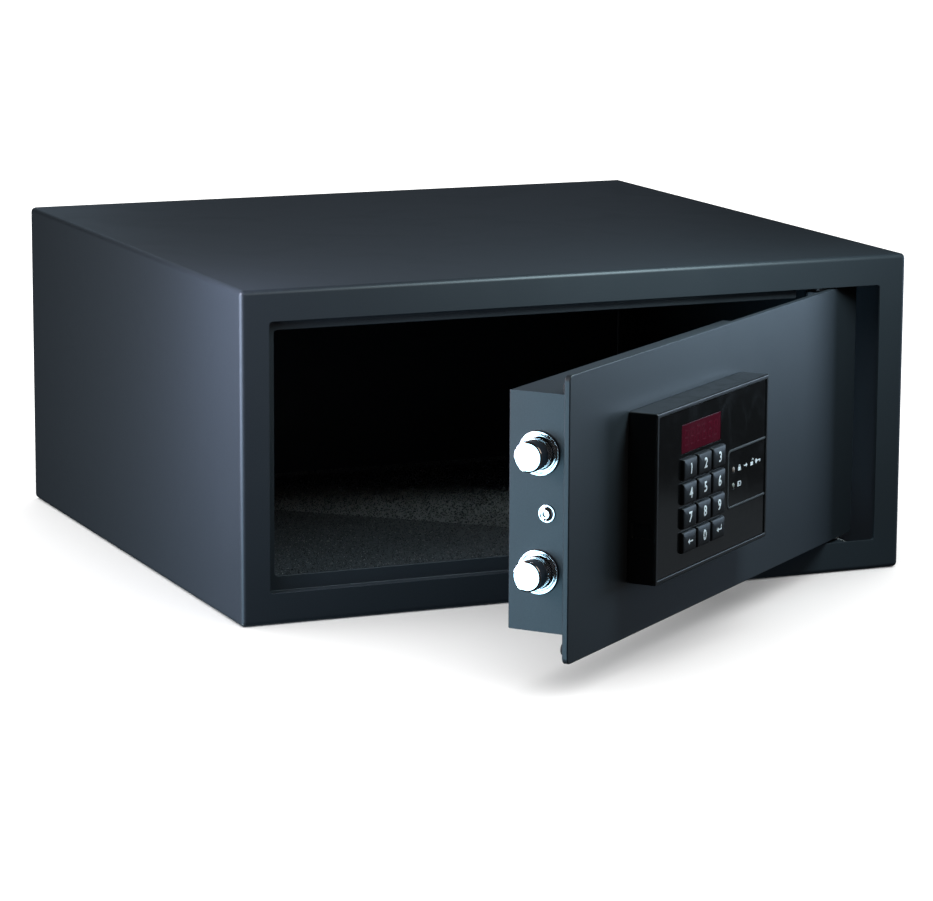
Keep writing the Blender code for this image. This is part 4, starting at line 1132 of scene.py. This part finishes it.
def bend(data, height, crown):
    """Lays a flat print on the crowned face of a key, cut into strips that follow the curve."""
    shape = bmesh.new()
    shape.from_mesh(data)
    strips = 24
    for cut in range(1, strips):
        level = Vector((0.0, 0.0, height * (cut / strips - 0.5)))
        bmesh.ops.bisect_plane(shape, geom=[*shape.verts, *shape.edges, *shape.faces],
                               dist=SAME_POINT, plane_co=level, plane_no=UP)
    for vertex in shape.verts:
        vertex.co.y += crown * (2 * vertex.co.z / height) ** 2
    shape.to_mesh(data)
    shape.free()


class SAFE_OT_display(bpy.types.Operator):
    """Dark red window with its unlit digits, and the two status lights"""

    bl_idname = "safe.display"
    bl_label = "Display and Lights"

    def execute(self, context):
        edge, proud, margin = 0.00008, 0.00003, 0.6
        refined("display_window", "red_lens", edge, segments=2)
        low, high = door_box("display_window")
        count = 6
        step = (high.x - low.x) / (count + margin)
        digit = mesh_from("digit", self.digit(width=0.0052, height=0.0092, stroke=0.0009))
        start = middle(low, high, y=low.y - proud)
        start.x -= step * (count - 1) / 2
        row = copies(digit, row_tree(), "unlit_segment", Count=count, Start=start,
                     Step=Vector((step, 0.0, 0.0)))
        row.transform(DOOR)
        piece("unlit_digits", row, ("unlit_segment",), body="door")
        for side, finish in (("upper", "amber_led"), ("lower", "green_led")):
            self.light(side, finish)
        return {"FINISHED"}

    def digit(self, width, height, stroke):
        """Seven bars of one digit."""
        half, tall, thin = width / 2, height / 2, stroke / 2
        gap = stroke * 0.25
        shapes = [self.segment(width - stroke - 2 * gap, stroke, 0.0, z, False)
                  for z in (-tall + thin, 0.0, tall - thin)]
        shapes += [self.segment(tall - stroke - 2 * gap + thin, stroke, x, z, True)
                   for x in (-half + thin, half - thin) for z in (-tall / 2, tall / 2)]
        return together(*shapes)

    def segment(self, length, stroke, x, z, upright):
        """A bar with pointed ends."""
        thickness = 0.00006
        thin, end = stroke / 2, length / 2
        points = [(-end, 0.0), (-end + thin, -thin), (end - thin, -thin), (end, 0.0),
                  (end - thin, thin), (-end + thin, thin)]
        if upright:
            points = [(-b, a) for a, b in points]
        return moved(outline(points, thickness), (x, 0.0, z))

    def light(self, side, finish):
        """A small domed lens."""
        low, high = door_box(side + "_status_light")
        radius, length = (high.z - low.z) / 2, high.y - low.y
        rise = 0.0007
        profile = [(0.0, length), *dome(radius, length, rise), (radius, 0.0), (0.0, 0.0)]
        data = mesh_from("light", turned(profile, 32),
                         at(middle(low, high, y=high.y), TO_FRONT))
        piece(side + "_lens", data, (finish,), (side + "_status_light",))


# ---------------------------------------------------------------- batteries


class SAFE_OT_batteries(bpy.types.Operator):
    """Cells, their tray and the ribbed battery cover"""

    bl_idname = "safe.batteries"
    bl_label = "Batteries"

    def execute(self, context):
        edge = 0.0003
        for node in ("battery_holder", "battery_cover"):
            refined(node, "black_plastic", edge, segments=2)
        for number in range(1, 5):
            self.one_cell(number)
        self.cover_ribs()
        return {"FINISHED"}

    def one_cell(self, number):
        """A sleeved cell with metal ends. Every second one points the other way."""
        node = "battery_cell_%d" % number
        low, high = door_box(node)
        radius, length = (high.z - low.z) / 2, high.x - low.x
        rim, button = radius - 0.0005, 0.0027
        profile = [(0.0, length), (button - 0.0003, length), (button, length - 0.0003),
                   (button, length - 0.0011), (rim, length - 0.0012), (radius, length - 0.0016),
                   (radius, 0.0005), (rim, 0.0001), (radius - 0.0009, 0.0), (0.0, 0.0)]
        if number % 2 == 0:
            place = at(middle(low, high, x=low.x), TO_HINGE)
        else:
            place = at(middle(low, high, x=high.x), TO_FREE_EDGE)
        data = mesh_from(node, turned(profile, 48), place)
        finishes = ("cell_sleeve", "zinc_steel")
        for finish in finishes:
            data.materials.append(material(finish))
        back = place.inverted()
        for face in data.polygons:
            centre = back @ face.center
            on_end = math.hypot(centre.x, centre.y) < radius - 0.0003
            face.material_index = 1 if on_end else 0
        piece("finished_" + node, data, finishes, (node,))

    def cover_ribs(self):
        """Grip ribs beside the cover's finger notch."""
        low, high = door_box("battery_cover")
        half_width, half_length, rise, sunk = 0.0011, 0.011, 0.0006, 0.0001
        inset, pitch = 0.030, 0.0040
        rib = mesh_from("rib", outline(
            [(-half_width, -half_length), (half_width, -half_length),
             (half_width, half_length), (-half_width, half_length)], rise))
        data = copies(rib, row_tree(), "black_plastic", Count=6,
                      Start=middle(low, high, x=high.x - inset, y=high.y - sunk),
                      Step=Vector((pitch, 0.0, 0.0)))
        data.transform(DOOR)
        piece("battery_cover_ribs", data, ("black_plastic",), body="door", edge=0.0002,
              segments=2)


# ---------------------------------------------------------------- studio


DOOR_TOP = (0.05, -0.26, 0.17)

# Each soft box: name, place, what it faces, width, height, brightness and tint. Metres.
SOFT_BOXES = (
    ("left_box", (-0.80, -0.22, 0.40), (-0.18, -0.30, 0.12), 0.30, 0.30, 12.0,
     (1.00, 0.97, 0.92)),
    ("left_strip", (-0.34, -0.20, 0.17), (-0.20, -0.20, 0.10), 0.10, 0.30, 10.5,
     (0.72, 0.78, 1.00)),
    ("left_upper_box", (-0.42, -0.17, 0.42), (-0.215, -0.19, 0.12), 0.12, 0.12, 13.0,
     (1.00, 0.93, 0.90)),
    ("left_lower_box", (-0.42, -0.17, -0.24), (-0.215, -0.19, 0.10), 0.12, 0.12, 18.0,
     (0.82, 0.97, 1.00)),
    ("left_edge_strip", (-0.42, -0.36, 0.22), (-0.20, -0.20, 0.12), 0.12, 0.30, 1.6,
     (1.00, 0.55, 0.42)),
    ("left_low_box", (-0.95, -0.56, -0.05), (-0.12, -0.42, 0.10), 0.50, 0.40, 6.4,
     (0.47, 0.81, 1.00)),
    ("left_back_box", (-0.80, 0.90, 0.00), (-0.215, -0.10, 0.10), 0.40, 0.40, 0.35,
     (0.80, 0.90, 1.00)),
    ("door_box", (0.12, -0.40, 0.36), DOOR_TOP, 0.16, 0.16, 20.0, (0.76, 0.97, 1.00)),
    ("door_fill", (0.12, -0.70, 0.42), DOOR_TOP, 0.30, 0.30, 1.1, (1.00, 0.82, 0.65)),
    ("right_box", (0.95, -0.15, 0.25), (0.05, -0.28, 0.12), 0.40, 0.40, 5.2,
     (0.60, 0.79, 1.00)),
    ("right_low_box", (0.95, -0.12, -0.24), (0.05, -0.28, 0.10), 0.70, 0.26, 0.13,
     (0.78, 0.90, 1.00)),
    ("back_box", (0.30, 1.20, 0.90), (0.0, 0.0, 0.195), 1.00, 1.00, 0.20,
     (0.64, 0.80, 1.00)),
    ("behind_box", (0.25, 1.20, -0.10), (0.0, 0.20, 0.08), 0.80, 0.30, 2.4,
     (0.80, 0.90, 1.00)),
    ("top_box", (-0.10, 1.00, 0.45), (-0.10, 0.10, 0.195), 0.40, 0.30, 0.36,
     (0.60, 0.81, 1.00)),
)

# The wash is a wide, even light from straight above that only the floor takes.
WASH_STRENGTH, WASH_SPREAD = 5.6, 160

BACKDROP, AMBIENT = 1.05, 0.02

CAMERA_PLACE = (-0.945, -2.209, 0.5146)
CAMERA_YAW, CAMERA_PITCH, CAMERA_ROLL = 23.407, -10.883, 0.310
FOCAL_LENGTH, SENSOR_WIDTH, FARTHEST = 147.66, 36.0, 60.0


class SAFE_OT_studio(bpy.types.Operator):
    """Pale floor, soft lights, background and the camera"""

    bl_idname = "safe.studio"
    bl_label = "Studio"

    def execute(self, context):
        self.floor(context)
        self.background(context)
        self.lights(context)
        self.camera(context)
        return {"FINISHED"}

    def floor(self, context):
        """A wide pale floor just under the feet, which throws no light or shadow back."""
        half, drop = 9.0, 0.0002

        def build(shape):
            bmesh.ops.create_grid(shape, x_segments=1, y_segments=1, size=half)

        data = mesh_from("floor", build, Matrix.Translation((0.0, 0.0, -drop)))
        made = bpy.data.objects.new("studio_floor", data)
        data.materials.append(material("studio_floor"))
        context.scene.collection.objects.link(made)
        made.visible_glossy = False
        made.visible_diffuse = False
        made.visible_shadow = False

    def background(self, context):
        """White to the camera and nearly black to everything else."""
        world = bpy.data.worlds.new("studio")
        context.scene.world = world
        world.use_nodes = True
        tree = world.node_tree
        backdrop = tree.nodes["Background"]
        backdrop.inputs["Color"].default_value = (1.0, 1.0, 1.0, 1.0)
        rays = put(tree, "ShaderNodeLightPath")
        strength = put(tree, "ShaderNodeMapRange", {
            "Value": rays.outputs["Is Camera Ray"], "To Min": AMBIENT, "To Max": BACKDROP})
        tree.links.new(strength.outputs["Result"], backdrop.inputs["Strength"])
        context.scene.view_settings.view_transform = "Standard"

    def lights(self, context):
        """Soft boxes on the safe, one on its back panel alone, and a wash on the floor."""
        on_safe = bpy.data.collections.new("all_but_floor")
        on_safe.objects.link(bpy.data.objects["studio_floor"])
        on_safe.collection_objects[0].light_linking.link_state = "EXCLUDE"
        on_back = bpy.data.collections.new("back_only")
        on_back.objects.link(bpy.data.objects["finished_back_panel"])
        for name, place, facing, width, height, brightness, tint in SOFT_BOXES:
            light = bpy.data.lights.new(name, "AREA")
            light.shape = "RECTANGLE"
            light.size = width
            light.size_y = height
            light.energy = math.pi * width * height * brightness
            light.color = tint
            made = bpy.data.objects.new(name, light)
            made.location = place
            aim = Vector(facing) - Vector(place)
            made.rotation_euler = aim.to_track_quat("-Z", "Y").to_euler()
            made.visible_camera = False
            receivers = on_back if name == "behind_box" else on_safe
            made.light_linking.receiver_collection = receivers
            context.scene.collection.objects.link(made)
        sun = bpy.data.lights.new("floor_wash", "SUN")
        sun.energy = WASH_STRENGTH
        sun.angle = math.radians(WASH_SPREAD)
        made = bpy.data.objects.new("floor_wash", sun)
        context.scene.collection.objects.link(made)
        on_floor = bpy.data.collections.new("floor_only")
        on_floor.objects.link(bpy.data.objects["studio_floor"])
        made.light_linking.receiver_collection = on_floor

    def camera(self, context):
        """A long lens from the front left, a little above the safe."""
        yaw, pitch, roll = map(math.radians, (CAMERA_YAW, CAMERA_PITCH, CAMERA_ROLL))
        forward = Vector((math.sin(yaw) * math.cos(pitch), math.cos(yaw) * math.cos(pitch),
                          math.sin(pitch)))
        right = Vector((math.cos(yaw), -math.sin(yaw), 0.0))
        up = right.cross(forward)
        level, tilt = math.cos(roll), math.sin(roll)
        side, top = level * right + tilt * up, level * up - tilt * right
        lens = bpy.data.cameras.new("camera")
        lens.sensor_width = SENSOR_WIDTH
        lens.lens = FOCAL_LENGTH
        lens.clip_end = FARTHEST
        made = bpy.data.objects.new("camera", lens)
        turn = Matrix((side, top, -forward)).transposed().to_4x4()
        made.matrix_world = Matrix.Translation(CAMERA_PLACE) @ turn
        context.scene.collection.objects.link(made)
        context.scene.camera = made


# ---------------------------------------------------------------- panel and run


STEPS = (SAFE_OT_body, SAFE_OT_floor_mat, SAFE_OT_hinges, SAFE_OT_door,
         SAFE_OT_bolts, SAFE_OT_lock_drive, SAFE_OT_keypad_unit, SAFE_OT_keys,
         SAFE_OT_display, SAFE_OT_batteries, SAFE_OT_studio)


class SAFE_PT_sidebar(bpy.types.Panel):
    """Settings and steps of the safe"""

    bl_idname = "SAFE_PT_sidebar"
    bl_label = "In-Room Safe"
    bl_space_type = "VIEW_3D"
    bl_region_type = "UI"
    bl_category = "Safe"

    def draw(self, context):
        for settings in (context.scene.safe_colours, context.scene.safe_sizes):
            box = self.layout.box()
            for label in settings.__annotations__:
                box.prop(settings, label)
        for step in STEPS:
            self.layout.operator(step.bl_idname)


CLASSES = (SafeColours, SafeSizes, *STEPS, SAFE_PT_sidebar)


def register():
    for each in CLASSES:
        bpy.utils.register_class(each)
    bpy.types.Scene.safe_colours = PointerProperty(type=SafeColours)
    bpy.types.Scene.safe_sizes = PointerProperty(type=SafeSizes)


def unregister():
    del bpy.types.Scene.safe_sizes
    del bpy.types.Scene.safe_colours
    for each in reversed(CLASSES):
        bpy.utils.unregister_class(each)


def main():
    register()
    for step in STEPS:
        group, name = step.bl_idname.split(".")
        getattr(getattr(bpy.ops, group), name)()


if __name__ == "__main__":
    main()
